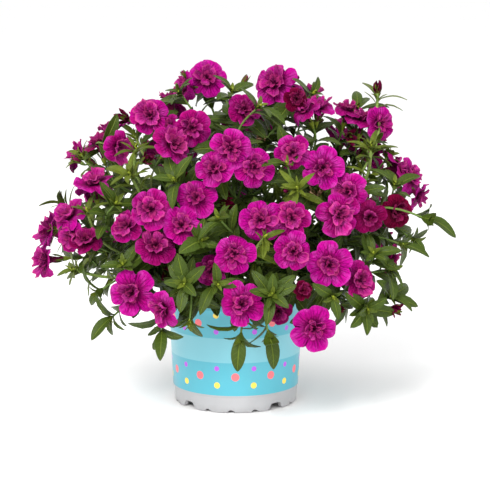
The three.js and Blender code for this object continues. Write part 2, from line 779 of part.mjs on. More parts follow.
// Of the shortest moves towards a neighbour that sink a bloom firmly into every cluster that it crosses,
// the one that makes the plainest joint.
function pressInto(crowd, bloom, others) {
  const moves = others
    .map((other) => other.place.clone().sub(bloom.place))
    .sort((a, b) => a.length() - b.length())
    .slice(0, CLUSTER.neighbours)
    .flatMap((way) => CLUSTER.steps.map((step) => way.clone().setLength(step)))
    .flatMap((move) => CLUSTER.lifts.map((lift) => move.clone().addScaledVector(bloom.inward, lift)))
    .sort((a, b) => strain(a, bloom) - strain(b, bloom));
  let best = null;
  let longest = Infinity;
  for (const move of moves) {
    if (strain(move, bloom) > longest) break;
    const pressed = { ...bloom, place: bloom.place.clone().add(move) };
    const solid = bloomSolid(pressed);
    const clusters = [...new Set(crowd.met(solid).map((member) => member.owner))];
    if (!clusters.length || clusters.some((cluster) => !cluster.blooms)) continue;
    if (clusters.reduce((sum, cluster) => sum + cluster.blooms.length, 1) > CLUSTER.largest) continue;
    const sunkIn = ({ solids }) => solids.reduce((sum, other) => sum + solid.intersect(other).volume(), 0);
    if (Math.min(...clusters.map(sunkIn)) < CLUSTER.shared) continue;
    const facets = joined([solid, ...clusters.flatMap((cluster) => cluster.solids)]).numTri();
    if (!best) longest = strain(move, bloom) + CLUSTER.spare;
    if (!best || facets < best.facets) best = { bloom: pressed, solid, clusters, facets };
  }
  return best;
}

// A move counts less along the line that the bloom is seen on than across it.
function strain(move, bloom) {
  const along = move.dot(bloom.inward);
  return Math.hypot(move.clone().addScaledVector(bloom.inward, -along).length(), 0.4 * along);
}

// Grows a twig that ends along axis, from the first stem that it can reach without crossing another
// node, and where possible without crossing its own stem's twigs either.
function growTwig(crowd, stems, end, axis, last, lastRadius) {
  for (const [pass, stemsTried] of TWIG.stemsTried.entries()) {
    for (const { stem, joints } of twigRoutes(stems, end, axis, stemsTried)) {
      const solid = twigSolid(joints, last, lastRadius);
      if (crowd.crosses(solid, (m) => m.owner !== stem || (!pass && m !== stem.member))) continue;
      const twig = { stem, joints, member: crowd.add(solid, stem) };
      stem.twigs.push(twig);
      return twig;
    }
  }
  return null;
}

// Grows the first variant of a leaf that crosses nothing but the twig that it stands on.
function growLeaf(crowd, twig, variants) {
  const others = (m) => m !== twig.member && m !== twig.stem.member;
  for (const leaf of variants) {
    if (crowd.crosses(leafSolid(leaf, CLEARANCE), (m) => m.owner !== twig.stem)) continue;
    const solid = leafSolid(leaf);
    if (crowd.crosses(solid, others)) continue;
    twig.stem.leaves.push(crowd.add(solid, twig.stem));
    return;
  }
}

// Grows each bloom's stalk, with a calyx that the bloom's tube ends in.
function growStalks(crowd, stems, blooms) {
  return blooms.map((bloom) => {
    const seat = bloom.place.clone().addScaledVector(bloom.axis, -TUBE_END * bloom.radius - SEAT_GAP);
    const neck = seat.clone().addScaledVector(bloom.axis, -TWIG.calyxLength);
    const twig = growTwig(crowd, stems, neck, bloom.axis, seat, TWIG.calyxRadius);
    if (!twig) throw new Error("no stem reaches bloom " + bloom.seed);
    return { twig, joints: twig.joints, bloom };
  });
}

function growStalkLeaves(crowd, stalks) {
  for (const stalk of stalks) {
    for (let joint = 1; joint <= stalk.bloom.stalkLeaves; joint++) {
      growLeaf(crowd, stalk.twig, stalkLeaf(stalk, joint));
    }
  }
}

// Grows the leafy tips. One that finds no room is left out.
function growTips(crowd, stems) {
  for (const wanted of wantedTips()) {
    const grown = firstOf(SHIFTS.slice(0, TWIG.shiftsTried), (shift) => {
      const tip = moved(wanted, shift);
      const neck = tip.place.clone().addScaledVector(tip.axis, -TWIG.tipLength);
      const twig = growTwig(crowd, stems, neck, tip.axis, tip.place, TWIG.tipRadius);
      return twig && { twig, tip };
    });
    if (grown) for (const variants of tipLeaves(grown.tip)) growLeaf(crowd, grown.twig, variants);
  }
}

const crowd = new Crowd();
const stems = mainStems();
const pot = potSolid();
const soil = soilSolid(stems);
crowd.add(pot, "pot");
crowd.add(soil, "soil");
for (const stem of stems) stem.member = crowd.add(stem.main, stem);
const clusters = seatBlooms(crowd, wantedBlooms());
const stalks = growStalks(crowd, stems, clusters.flatMap((cluster) => cluster.blooms));
growTips(crowd, stems);
growStalkLeaves(crowd, stalks);

// ---------------------------------------------------------------- the finished group

const MATERIALS = {
  pot: new THREE.MeshStandardMaterial({ color: 0x45c3d6, roughness: 0.4, metalness: 0 }),
  soil: new THREE.MeshStandardMaterial({ color: 0x2b1d14, roughness: 0.95, metalness: 0 }),
  foliage: new THREE.MeshStandardMaterial({ color: 0x4a6b2a, roughness: 0.6, metalness: 0 }),
  petals: new THREE.MeshStandardMaterial({ color: 0xbf1090, roughness: 0.6, metalness: 0 }),
};

function meshOf(name, solids, material) {
  const { numProp, vertProperties, triVerts } = joined(solids).getMesh();
  const positions = vertProperties.filter((_, i) => i % numProp < 3);
  const geometry = new THREE.BufferGeometry();
  geometry.setAttribute("position", new THREE.BufferAttribute(positions, 3));
  geometry.setIndex([...triVerts]);
  geometry.computeVertexNormals();
  const mesh = new THREE.Mesh(geometry, material);
  mesh.name = name;
  return mesh;
}

// One solid of several, without vertices that hardly shape it.
function joined(solids) {
  return wasm.Manifold.union(solids).asOriginal().simplify(FINEST_STEP);
}

function partsOf({ main, twigs, leaves }) {
  return [main, ...twigs.map((twig) => twig.member.solid), ...leaves.map((member) => member.solid)];
}

const plant = new THREE.Group();
const numbered = (name, i) => `${name}_${String(i + 1).padStart(2, "0")}`;
plant.add(meshOf("pot", [pot], MATERIALS.pot));
plant.add(meshOf("soil", [soil], MATERIALS.soil));
stems.forEach((stem, i) => plant.add(meshOf(numbered("leafy_stem", i), partsOf(stem), MATERIALS.foliage)));
clusters.forEach(({ solids }, i) => plant.add(meshOf(numbered("bloom", i), solids, MATERIALS.petals)));
export default plant;
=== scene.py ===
"""A double-flowered calibrachoa in a printed plastic pot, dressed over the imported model.

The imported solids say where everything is. Each calyx ends in a plain three-sided face, which carries a
bloom, and each leaf ends in a corner with three edges. Lengths are in millimetres until a piece is made.
"""

import itertools
import math
from dataclasses import dataclass, field
from types import SimpleNamespace as Sizes

import bpy
import numpy as np
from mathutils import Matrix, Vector, kdtree


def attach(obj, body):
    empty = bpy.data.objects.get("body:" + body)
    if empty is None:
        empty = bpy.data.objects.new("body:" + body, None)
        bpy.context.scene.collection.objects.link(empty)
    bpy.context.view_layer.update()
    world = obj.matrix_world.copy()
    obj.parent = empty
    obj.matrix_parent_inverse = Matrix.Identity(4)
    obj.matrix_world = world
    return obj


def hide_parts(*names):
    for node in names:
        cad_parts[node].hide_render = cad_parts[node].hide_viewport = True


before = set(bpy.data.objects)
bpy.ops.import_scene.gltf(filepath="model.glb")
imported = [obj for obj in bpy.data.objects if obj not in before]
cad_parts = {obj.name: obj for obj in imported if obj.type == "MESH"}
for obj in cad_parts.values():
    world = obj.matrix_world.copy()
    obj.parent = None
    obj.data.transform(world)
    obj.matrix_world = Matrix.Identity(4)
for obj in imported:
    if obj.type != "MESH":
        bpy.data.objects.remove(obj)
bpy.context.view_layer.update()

MM = 0.001
TURN = 2 * math.pi
UP = np.array((0.0, 0.0, 1.0))
FRONT = np.array((0.0, -1.0, 0.0))
RIGHT = np.array((1.0, 0.0, 0.0))

# -------- sizes that the solids are built with

POT = Sizes(
    height=88,
    rim_radius=55,
    rim_band=7,
    rim_step=1.2,
    foot_radius=49,
    foot_step=0.8,
    foot_height=13,
    foot_width=3.5,
    taper=0.6,
    wall=1.6,
    floor_under=5.5,
)
FOOT = Sizes(arches=4, arch_width=9, arch_height=5, arch_turn=-4, notches=3, notch_width=3, notch_height=1.8)
DRAIN = Sizes(count=6, radius=4, ring=26)
SOIL = Sizes(top=79, mound=3, hole_depth=16)
MOUND_CENTRE = np.array((0.0, 2.0, 112.0))
MOUND_RADII = np.array((150.0, 122.0, 144.0))
# rings of main stems: how many, degrees above level, first turn, distance of the root from the axis
STEM_RINGS = [(6, 4, 30, 30), (3, 44, 0, 14), (1, 88, 0, 0)]
STEM = Sizes(reach=0.58, arch=22, lean=4, radii=(2.1, 1.4))
TWIG_STARTS = (0.9, 0.7, 0.5, 0.97, 0.8, 0.6, 0.4)
TWIG = Sizes(radius=1.05, starts=TWIG_STARTS, bows=(0.42, 0.22), sways=(0, 0.2, -0.2))
CALYX = Sizes(length=7, radius=2.3)
TIP = Sizes(length=11, radius=0.9, leafy=15)
# a bloom, in its own radii, but for the gap between its tube and its seat
LOBES = 5
BLOOM = Sizes(tube=0.85, middle=0.1, seat_gap=0.3)
LOBE_CORNER = Sizes(turns=(-0.053, 0.053), reach=0.98)
LEAF = Sizes(width=0.37, depth=1.1, gap=1.3, end_gap=0.6)
# a leaf's last ring before its tip: shares of the leaf's length, width and depth, and how far the blade
# has risen there and drops from there to its tip, as shares of its bend
LEAF_RING = Sizes(at=0.7, width=0.9, depth=0.8, rise=0.105, drop=0.345)
# of the blooms that the photograph shows, and of those that are set by rule in huddles of up to three
SEEDS = [*range(1, 53), *[500 + 10 * k + i for k in range(32) for i in range(3)]]

# -------- small tools

PRIME = 2147483647


def dice(seed):
    """Draws in 0..1 that come out the same on every run: one, or an array of count."""
    state = (seed * 7919 + 104729) % PRIME

    def draw(count=0):
        nonlocal state
        if count:
            return np.array([draw() for _ in range(count)])
        state = state * 16807 % PRIME
        return state / PRIME

    return draw


def norm(v):
    """The lengths of vectors, along the last axis."""
    return np.linalg.norm(v, axis=-1)


def unit(v):
    return v / max(np.linalg.norm(v), 1e-12)


def square_to(along, wish):
    """The unit vector nearest to wish that is square to along."""
    return unit(wish - along * np.dot(along, wish))


def turned(along, side, turn):
    """The unit vector square to along that lies a share of a turn round from side."""
    angle = turn * TURN
    return side * math.cos(angle) + np.cross(along, side) * math.sin(angle)


def level_side(axis):
    """A side of an axis to count turns from: the upper one, or the front one where the axis is upright."""
    return square_to(axis, UP if abs(axis[2]) < 0.8 else FRONT)


def splayed(axis, turn, degrees):
    """A direction that leans off an axis at a turn round it, and the way square to the axis there."""
    out = turned(axis, level_side(axis), turn)
    lean = math.radians(degrees)
    return unit(axis * math.cos(lean) + out * math.sin(lean)), out


def heading(turn, rise):
    a, e = math.radians(turn), math.radians(rise)
    return np.array((math.sin(a) * math.cos(e), -math.cos(a) * math.cos(e), math.sin(e)))


def frame_of(axis):
    """The shortest turn that brings +Z onto an axis, as a matrix."""
    return np.array(Vector((0, 0, 1)).rotation_difference(Vector(axis)).to_matrix())


def off_axis(points, start, axis):
    """How far points lie along an axis from its start, and how far off it."""
    offset = points - start
    along = offset @ axis
    return along, norm(offset - along[..., None] * axis)


def lerp(a, b, t):
    return a + (b - a) * t


def ramp(value, start, end):
    """0 up to start, 1 from end on, and a straight rise between them."""
    return np.clip((value - start) / (end - start), 0, 1)


def hump(x, width):
    """1 at the middle, falling away over a width to either side."""
    return np.exp(-((x / width) ** 2))


def bezier(start, bend, end, t):
    """Points of a curve at the shares t of its length."""
    t = np.asarray(t, float)[:, None]
    return (1 - t) ** 2 * start + 2 * t * (1 - t) * bend + t**2 * end


def round_axis(out, angle, z):
    """Points from their distances from the Z axis, angles and heights."""
    return np.stack(np.broadcast_arrays(out * np.cos(angle), out * np.sin(angle), z), axis=-1)


def nearest(seen, pixel):
    """Which of the places seen in the picture lies nearest to a pixel."""
    return np.argmin(np.hypot(seen[:, 0] - pixel[0], seen[:, 1] - pixel[1]))


def add_to_scene(name, data, place=None, target=None):
    """Puts an object in the scene, and where a place is given, there, with its -Z axis at a target."""
    made = bpy.data.objects.new(name, data)
    bpy.context.scene.collection.objects.link(made)
    if place is not None:
        made.location = place
        made.rotation_euler = (Vector(target) - made.location).to_track_quat("-Z", "Y").to_euler()
    return made


# -------- the photograph's view

EYE = np.array((7.5, -1300.0, 336.0))
LOOK_AT = (7.5, 0, 125)
FIELD_OF_VIEW = 16.9
HALF_VIEW = math.tan(math.radians(FIELD_OF_VIEW / 2))
PICTURE = 490  # pixels across


def add_camera():
    data = bpy.data.cameras.new("camera")
    data.sensor_width = 36
    data.lens = data.sensor_width / 2 / HALF_VIEW
    data.clip_end = 400
    bpy.context.scene.camera = add_to_scene("camera", data, Vector(EYE) * MM, Vector(LOOK_AT) * MM)


def sight_axes():
    ahead = unit(np.array(LOOK_AT) - EYE)
    right = unit(np.cross(ahead, UP))
    return ahead, right, np.cross(right, ahead)


def in_picture(point):
    """The pixel of the photograph that shows a point."""
    ahead, right, up = sight_axes()
    offset = point - EYE
    scale = PICTURE / 2 / HALF_VIEW / (offset @ ahead)
    return PICTURE / 2 + scale * (offset @ right), PICTURE / 2 - scale * (offset @ up)


def spot_at(pixel, like):
    """The point that a pixel shows, as far from the camera as another point is."""
    ahead, right, up = sight_axes()
    depth = (like - EYE) @ ahead
    scale = depth * HALF_VIEW / (PICTURE / 2)
    level = EYE + ahead * depth
    return level + right * scale * (pixel[0] - PICTURE / 2) + up * scale * (PICTURE / 2 - pixel[1])


# -------- what the solids say

# how far off a length in millimetres, a cosine and a share of a length may be, to fit
FIT = Sizes(length=0.02, cosine=0.03, share=0.05)
# a bloom's middle corner lies this far ahead of its seat, and its other corners within a share of its radius
MIDDLE_NEAR, MIDDLE_FAR, BLOOM_EXTENT = 6, 22, 1.3
FAR_CORNER = 0.1  # a lobe's corner that is further off than this isn't there
ON_TWIG = 6  # a leaf's base lies within this of its twig's points


@dataclass
class Bloom:
    seat: np.ndarray
    axis: np.ndarray
    place: np.ndarray
    radius: float
    seed: int
    node: str


@dataclass
class Leaf:
    base: np.ndarray
    way: np.ndarray
    sky: np.ndarray
    length: float
    bend: float
    width: float = LEAF.width
    young: float = 0.0
    seed: int = 0


@dataclass
class Twig:
    start: np.ndarray
    bend: np.ndarray
    neck: np.ndarray
    last: np.ndarray
    axis: np.ndarray
    blooms: bool
    seed: int = 0

    def path(self, steps=9):
        """Points from the main stem to the twig's end."""
        curve = bezier(self.start, self.bend, self.neck, np.linspace(0, 1, steps))
        return np.vstack([curve, self.last])


@dataclass
class Stem:
    node: str
    root: np.ndarray
    start: np.ndarray
    bend: np.ndarray
    end: np.ndarray
    twigs: list = field(default_factory=list)
    leaves: list = field(default_factory=list)
    blooms: list = field(default_factory=list)


def solid(node):
    """A CAD node's corners in millimetres, each named once, and its triangles."""
    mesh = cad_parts[node].data
    mesh.calc_loop_triangles()
    points = np.array([vertex.co for vertex in mesh.vertices], float)
    triangles = np.array([triangle.vertices for triangle in mesh.loop_triangles])
    corners, where = np.unique(np.round(points / MM, 3), axis=0, return_inverse=True)
    return corners, where.ravel()[triangles]


def rod_ends(corners, triangles, radius):
    """The middle and the outward direction of each end of a three-sided rod of a radius."""
    ends = corners[triangles]
    sides = norm(ends - np.roll(ends, 1, axis=1))
    for a, b, c in ends[np.all(abs(sides - radius * math.sqrt(3)) < FIT.length, axis=1)]:
        yield (a + b + c) / 3, unit(np.cross(b - a, c - a))


def leaves_of(corners, triangles):
    """Each leaf, from the corner at its tip and the three corners of the last ring before it."""
    beside = {}
    for triangle in triangles.tolist():
        for k in range(3):
            beside.setdefault(triangle[k], set()).update((triangle[k - 1], triangle[k - 2]))
    found = []
    for tip, around in beside.items():
        if len(around) != 3:
            continue
        ring = corners[sorted(around)]
        for k in range(3):
            leaf = leaf_at(corners[tip], ring[k], ring[k - 1], ring[k - 2])
            if leaf:
                found.append(leaf)
                break
    return found


def leaf_at(tip, keel, left, right):
    """The leaf with this tip and last ring, or None where they don't fit a leaf."""
    middle = (left + right) / 2
    across = unit(left - right)
    sky = unit(middle - keel)
    way = np.cross(sky, across)
    ahead = tip - middle
    length = norm(left - right) / (LEAF_RING.width * LEAF.width)
    if abs(norm(middle - keel) - LEAF_RING.depth * LEAF.depth) > FIT.length:
        return None
    if np.dot(ahead, way) < 0:
        way = -way
    share_left = np.dot(ahead, way) / length
    if abs(np.dot(sky, across)) > FIT.cosine or abs(share_left - (1 - LEAF_RING.at)) > FIT.share:
        return None
    bend = -np.dot(ahead, sky) / (LEAF_RING.drop * length)
    base = middle - way * LEAF_RING.at * length + sky * bend * length * LEAF_RING.rise
    return Leaf(base, way, sky, length, bend)


def main_stems():
    stems = []
    for count, rise, turn, out in STEM_RINGS:
        for k in range(count):
            way = heading(turn + 360 / count * k, rise)
            level = unit(np.array((way[0], way[1], 0.0)))
            root = level * out + UP * (SOIL.top - SOIL.hole_depth)
            start = level * out + UP * (SOIL.top + SOIL.mound)
            end = way * MOUND_RADII * STEM.reach + MOUND_CENTRE
            bend = level * (out + STEM.lean) + UP * ((SOIL.top + end[2]) / 2 + STEM.arch)
            stems.append(Stem(f"leafy_stem_{len(stems) + 1:02d}", root, start, bend, end))
    return stems


def twig_to(stem, tree, last, axis, straight, blooms):
    """The twig with a straight end along axis: of all its routes, the one that the solid follows."""
    neck = last - axis * straight
    best, least = None, math.inf
    for sway, bow, share in itertools.product(TWIG.sways, TWIG.bows, TWIG.starts):
        start = bezier(stem.start, stem.bend, stem.end, [share])[0]
        reach = norm(neck - start)
        bend = neck - axis * bow * reach + unit(np.cross(axis, neck - start)) * sway * reach
        middle = bezier(start, bend, neck, [0.5])[0]
        first = unit(middle - start)
        along = unit(neck - start)
        side = square_to(along, square_to(first, UP if abs(first[2]) < 0.9 else RIGHT))
        misfit = sum(tree.find(middle + turned(along, side, k / 3) * TWIG.radius)[2] for k in range(3))
        if misfit < least:
            best, least = Twig(start, bend, neck, last, axis, blooms), misfit
    return best


def tree_of(points):
    tree = kdtree.KDTree(len(points))
    for i, p in enumerate(points):
        tree.insert(p, i)
    tree.balance()
    return tree


def lobes_of(seed):
    """A bloom's spin, and a row for each lobe: its reach, lift and crest."""
    draw = dice(seed)
    spin = draw()
    rows = [(0.94 + 0.1 * draw(), -0.08 + 0.2 * draw(), 0.2 + 0.1 * draw()) for _ in range(LOBES)]
    return spin, np.array(rows)


def bloom_on(seat, axis, corners, owners):
    """The bloom that a calyx carries: its middle corner lies on the calyx's axis.

    Its seed is the one whose lobes have their corners nearest to the solid's.
    """
    along, aside = off_axis(corners, seat, axis)
    near = np.flatnonzero((along > MIDDLE_NEAR) & (along < MIDDLE_FAR))
    middle = near[np.argmin(aside[near])]
    radius = (along[middle] - BLOOM.seat_gap) / (BLOOM.tube + BLOOM.middle)
    place = seat + axis * (BLOOM.seat_gap + BLOOM.tube * radius)
    local = (corners - place) @ frame_of(axis) / radius
    local = local[norm(local) < BLOOM_EXTENT]

    def misfit(seed):
        spin, lobes = lobes_of(seed)
        turns = np.arange(LOBES)[:, None] / LOBES + np.array(LOBE_CORNER.turns) + spin
        spots = round_axis(LOBE_CORNER.reach * lobes[:, :1], turns * TURN, lobes[:, 1:2])
        return np.minimum(norm(local[:, None, None] - spots).min(axis=0), FAR_CORNER).sum()

    return Bloom(seat, axis, place, radius, min(SEEDS, key=misfit), owners[middle])


def hidden_tips(stem, tips):
    """The leafy tips whose end a leaf covers: those of the leaves that no other twig carries."""
    for leaf in stem.leaves:
        places = [off_axis(leaf.base, place, axis) for place, axis in tips]
        on_tip = any(-TIP.leafy < along < 1 and aside < 1 for along, aside in places)
        on_twig = any(norm(twig.path() - leaf.base).min() < ON_TWIG for twig in stem.twigs if twig.blooms)
        if not on_tip and not on_twig:
            yield leaf.base + leaf.way * (LEAF.gap + LEAF.end_gap), leaf.way


def read_plant():
    """Every main stem with its twigs, leaves and blooms, and a list of all the blooms."""
    stems = main_stems()
    nodes = sorted(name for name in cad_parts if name.startswith("bloom"))
    skins = [solid(node)[0] for node in nodes]
    corners = np.vstack(skins)
    owners = [node for node, skin in zip(nodes, skins) for _ in skin]
    for stem in stems:
        points, triangles = solid(stem.node)
        tree = tree_of(points)
        stem.leaves = leaves_of(points, triangles)
        for seat, axis in rod_ends(points, triangles, CALYX.radius):
            stem.twigs.append(twig_to(stem, tree, seat, axis, CALYX.length, True))
            stem.blooms.append(bloom_on(seat, axis, corners, owners))
        tips = list(rod_ends(points, triangles, TIP.radius))
        for place, axis in [*tips, *hidden_tips(stem, tips)]:
            stem.twigs.append(twig_to(stem, tree, place, axis, TIP.length, False))
    return stems, [bloom for stem in stems for bloom in stem.blooms]


# -------- skins

# on a leaf, the kind mark carries its painted light: lower for leaves deeper inside the plant
MARKS = ("across", "along", "tone", "kind", "under")
SHARP = 62  # degrees between faces from which an edge shows


class Skin:
    """The points, faces and per-point marks of one piece, gathered patch by patch."""

    def __init__(self):
        self.points = []
        self.marks = []
        self.faces = []
        self.slots = []
        self.count = 0

    def put(self, points, marks):
        """Adds points, each with its marks, and gives their numbers back in the same layout."""
        layout = points.shape[:-1]
        size = int(np.prod(layout))
        self.points.append(points.reshape(-1, 3))
        self.marks.append(np.broadcast_to(marks, (*layout, len(MARKS))).reshape(-1, len(MARKS)))
        numbers = np.arange(self.count, self.count + size).reshape(layout)
        self.count += size
        return numbers

    def face(self, *corners, slot=0):
        """Adds a face for each entry of the corner arrays."""
        rows = np.stack([np.ravel(x) for x in corners], axis=1)
        self.faces.extend(rows.tolist())
        self.slots.extend([slot] * len(rows))

    def sheet(self, top, marks, thick, slot=0, closed=False):
        """A thin closed shell under a grid of points. closed joins the last column to the first."""
        low = top - normals_of(top, closed) * thick
        marks = np.array(np.broadcast_to(marks, (*top.shape[:2], len(MARKS))))
        a = self.put(top, marks)
        marks[..., MARKS.index("under")] = 1
        b = self.put(low, marks)
        if closed:
            a = np.hstack([a, a[:, :1]])
            b = np.hstack([b, b[:, :1]])
        self.face(a[:-1, :-1], a[:-1, 1:], a[1:, 1:], a[1:, :-1], slot=slot)
        self.face(b[:-1, :-1], b[1:, :-1], b[1:, 1:], b[:-1, 1:], slot=slot)
        self.face(a[0, :-1], b[0, :-1], b[0, 1:], a[0, 1:], slot=slot)
        self.face(a[-1, 1:], b[-1, 1:], b[-1, :-1], a[-1, :-1], slot=slot)
        if not closed:
            self.face(a[1:, 0], b[1:, 0], b[:-1, 0], a[:-1, 0], slot=slot)
            self.face(a[:-1, -1], b[:-1, -1], b[1:, -1], a[1:, -1], slot=slot)

    def tube(self, rings, marks, slot=0):
        """A closed tube through rings of points, rows x columns, with a point in the middle of each end."""
        marks = np.array(np.broadcast_to(marks, (*rings.shape[:2], len(MARKS))))
        a = self.put(rings, marks)
        ends = self.put(rings[[0, -1]].mean(axis=1), marks[[0, -1], 0])
        a = np.hstack([a, a[:, :1]])
        self.face(a[:-1, :-1], a[:-1, 1:], a[1:, 1:], a[1:, :-1], slot=slot)
        self.face(np.full(rings.shape[1], ends[0]), a[0, 1:], a[0, :-1], slot=slot)
        self.face(np.full(rings.shape[1], ends[1]), a[-1, :-1], a[-1, 1:], slot=slot)

    def rod(self, path, radii, sides, tone, slot):
        """A closed tube of one tone, or of a tone for each ring, along a path."""
        self.tube(rings_along(path, radii, sides), marks_of(0, 0.5, tone, 0.5), slot)

    def piece(self, name, materials, replaced):
        """Makes the piece, in metres, with its marks as attributes for the materials."""
        mesh = bpy.data.meshes.new(name)
        mesh.from_pydata((np.vstack(self.points) * MM).tolist(), [], self.faces)
        mesh.polygons.foreach_set("material_index", self.slots)
        marks = np.vstack(self.marks)
        for i, mark in enumerate(MARKS):
            layer = mesh.attributes.new(mark, "FLOAT", "POINT")
            layer.data.foreach_set("value", np.ascontiguousarray(marks[:, i], np.float32))
        for material in materials:
            mesh.materials.append(material)
        mesh.shade_smooth()
        mesh.set_sharp_from_angle(angle=math.radians(SHARP))
        mesh.update()
        made = add_to_scene(name, mesh)
        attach(made, "root")
        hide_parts(replaced)


def normals_of(grid, closed=False):
    """The unit normals of a grid of points, on the side where columns turn leftwards into rows."""
    along = np.gradient(grid, axis=0)
    if closed:
        across = np.roll(grid, -1, axis=1) - np.roll(grid, 1, axis=1)
    else:
        across = np.gradient(grid, axis=1)
    normals = np.cross(across, along)
    return normals / np.maximum(norm(normals)[..., None], 1e-9)


def marks_of(across, along, tone, kind):
    """Marks for a grid, from rows, columns or single numbers."""
    across, along, tone, kind = np.broadcast_arrays(across, along, tone, kind)
    return np.stack([across, along, tone, kind, np.zeros(across.shape)], axis=-1)


def rings_along(path, radii, sides):
    """Rings of points round a path, kept from twisting."""
    path = np.asarray(path, float)
    side = None
    rings = []
    for middle, way, radius in zip(path, np.gradient(path, axis=0), np.broadcast_to(radii, len(path))):
        way = unit(way)
        side = square_to(way, level_side(way) if side is None else side)
        rings.append([middle + turned(way, side, k / sides) * radius for k in range(sides)])
    return np.array(rings)


# -------- blooms, in bloom radii

PETAL = 0.28  # thickness in millimetres
LIMB_ROWS = np.array((0, 0.08, 0.2, 0.35, 0.52, 0.69, 0.84, 0.95, 1.0))
LOBE_COLUMNS = 12
THROAT = Sizes(radius=0.17, height=-0.2)
NOTCH = 0.77  # reach between the outer lobes
LIMB, WHORL, HEART, TUBE = 0, 1, 2, 3  # the kinds that the petals' material tells apart
TUBE_RADII = (0.2, 0.185, 0.155, 0.135, 0.115, 0.1, 0.095)
TUBE_HEIGHTS = (-0.17, -0.24, -0.34, -0.46, -0.6, -0.74, -BLOOM.tube)
TUBE_SIDES = 14
# the wrapped petals of the heart: distance from the middle, height and half span in radians
HEART_PETALS = [
    (0.37, 0.3, 0.75),
    (0.34, 0.36, 0.85),
    (0.28, 0.38, 0.8),
    (0.22, 0.4, 0.9),
    (0.15, 0.4, 0.95),
    (0.08, 0.36, 1.1),
]
GOLDEN = 0.382  # from one leaf or wrapped petal to the next, in turns
SPARSE = 0.62  # how wide the inner petals are in the blooms with small middles
SPARSE_BLOOMS = (16, 20, 40, 44, 46, 48)
# how dark and red a bloom is: 1 for an old crimson one, 0 for a fresh magenta one, and less for a violet one
FADING = -0.25
TONES = {
    **dict.fromkeys((14, 21, 50), 0.95),
    **dict.fromkeys((3, 20, 34, 49, 51), 0.7),
    **dict.fromkeys((7, 8, 9, 23, 25, 26, 28, 47, 52), 0.45),
    **dict.fromkeys((5, 6, 16, 40, 43, 46, 48), FADING),
}


def bloom_tone(seed):
    draw = dice(seed + 7000)
    return TONES.get(seed, 0.6 * draw() ** 3) + 0.08 * (draw() - 0.5)


def lobe_columns():
    """For each column of a corolla: its turn, its lobe, its place in the lobe from -0.5 to 0.5, and how
    near it is to a notch, from 0 to 1. The columns stand closer together towards the notches."""
    steps = (np.arange(LOBE_COLUMNS) - LOBE_COLUMNS / 2 + 0.5) / LOBE_COLUMNS
    x = np.tile(0.5 * np.sin(math.pi * steps), LOBES)
    lobe = np.repeat(np.arange(LOBES), LOBE_COLUMNS)
    return (lobe + x) / LOBES, lobe, x, abs(2 * x)


def add_bloom(skin, bloom):
    spin, lobes = lobes_of(bloom.seed)
    tone = bloom_tone(bloom.seed)
    draw = dice(bloom.seed + 3000)
    onto = frame_of(bloom.axis) * bloom.radius

    def laid(local):
        return local @ onto.T + bloom.place

    fullness = SPARSE if bloom.seed in SPARSE_BLOOMS else 0.8 + 0.2 * draw()
    add_limb(skin, laid, spin, lobes, tone, draw)
    add_whorl(skin, laid, spin, lobes, tone, draw, fullness)
    add_heart(skin, laid, tone, draw, fullness)
    radii, heights = np.array((TUBE_RADII, TUBE_HEIGHTS))[..., None]
    turns = np.arange(TUBE_SIDES) / TUBE_SIDES
    rings = round_axis(radii, turns * TURN, heights)
    along = ramp(heights, heights[0], heights[-1])
    skin.tube(laid(rings)[::-1], marks_of(turns, along, tone, TUBE)[::-1])


def add_limb(skin, laid, spin, lobes, tone, draw):
    """The outer corolla: five fused lobes, each creased down its middle, with its own curl and lean."""
    turns, lobe, x, edge = lobe_columns()
    curls = 0.4 * (draw(LOBES) - 0.7)
    curls[int(draw() * LOBES)] -= 0.5 * draw()
    lean = 0.75 * (draw(LOBES)[lobe] - 0.5)
    reach = lobes[lobe, 0] * (1.02 - 0.09 * draw(LOBES)[lobe] ** 2)
    depths = NOTCH + 0.2 * (draw(LOBES) - 0.6)
    phases = draw(4) * TURN
    notch = np.where(x > 0, depths[lobe], depths[lobe - 1])
    rim = lerp(reach + 0.02, notch, edge**3.4) - 0.03 * hump(x, 0.08)
    f = LIMB_ROWS[:, None]
    angle = (turns + spin) * TURN
    turned_up = ramp(f, 0.5, 1) ** 2 * (1 - edge**3)
    out = lerp(THROAT.radius, rim, f) - 0.35 * abs(curls[lobe]) * turned_up
    z = THROAT.height * ramp(f, 0.22, 0) ** 2 - 0.05 * ramp(f, 0.6, 0)
    z = z + lerp(lobes[lobe, 1], 0.03, edge**2) * f**1.4 + curls[lobe] * turned_up + lean * x * f**2
    z = z + f**2 * 0.03 * np.sin(3 * angle + phases[0]) + f**3 * 0.035 * np.sin(8 * angle + phases[1])
    z = z + 0.028 * f**3 * np.sin(17 * angle + phases[2])
    z = z - 0.05 * hump(x, 0.06) * np.sin(f * math.pi) ** 0.7 - 0.08 * edge**14 * f
    skin.sheet(laid(round_axis(out, angle, z)), marks_of(x, f, tone, LIMB), PETAL, closed=True)


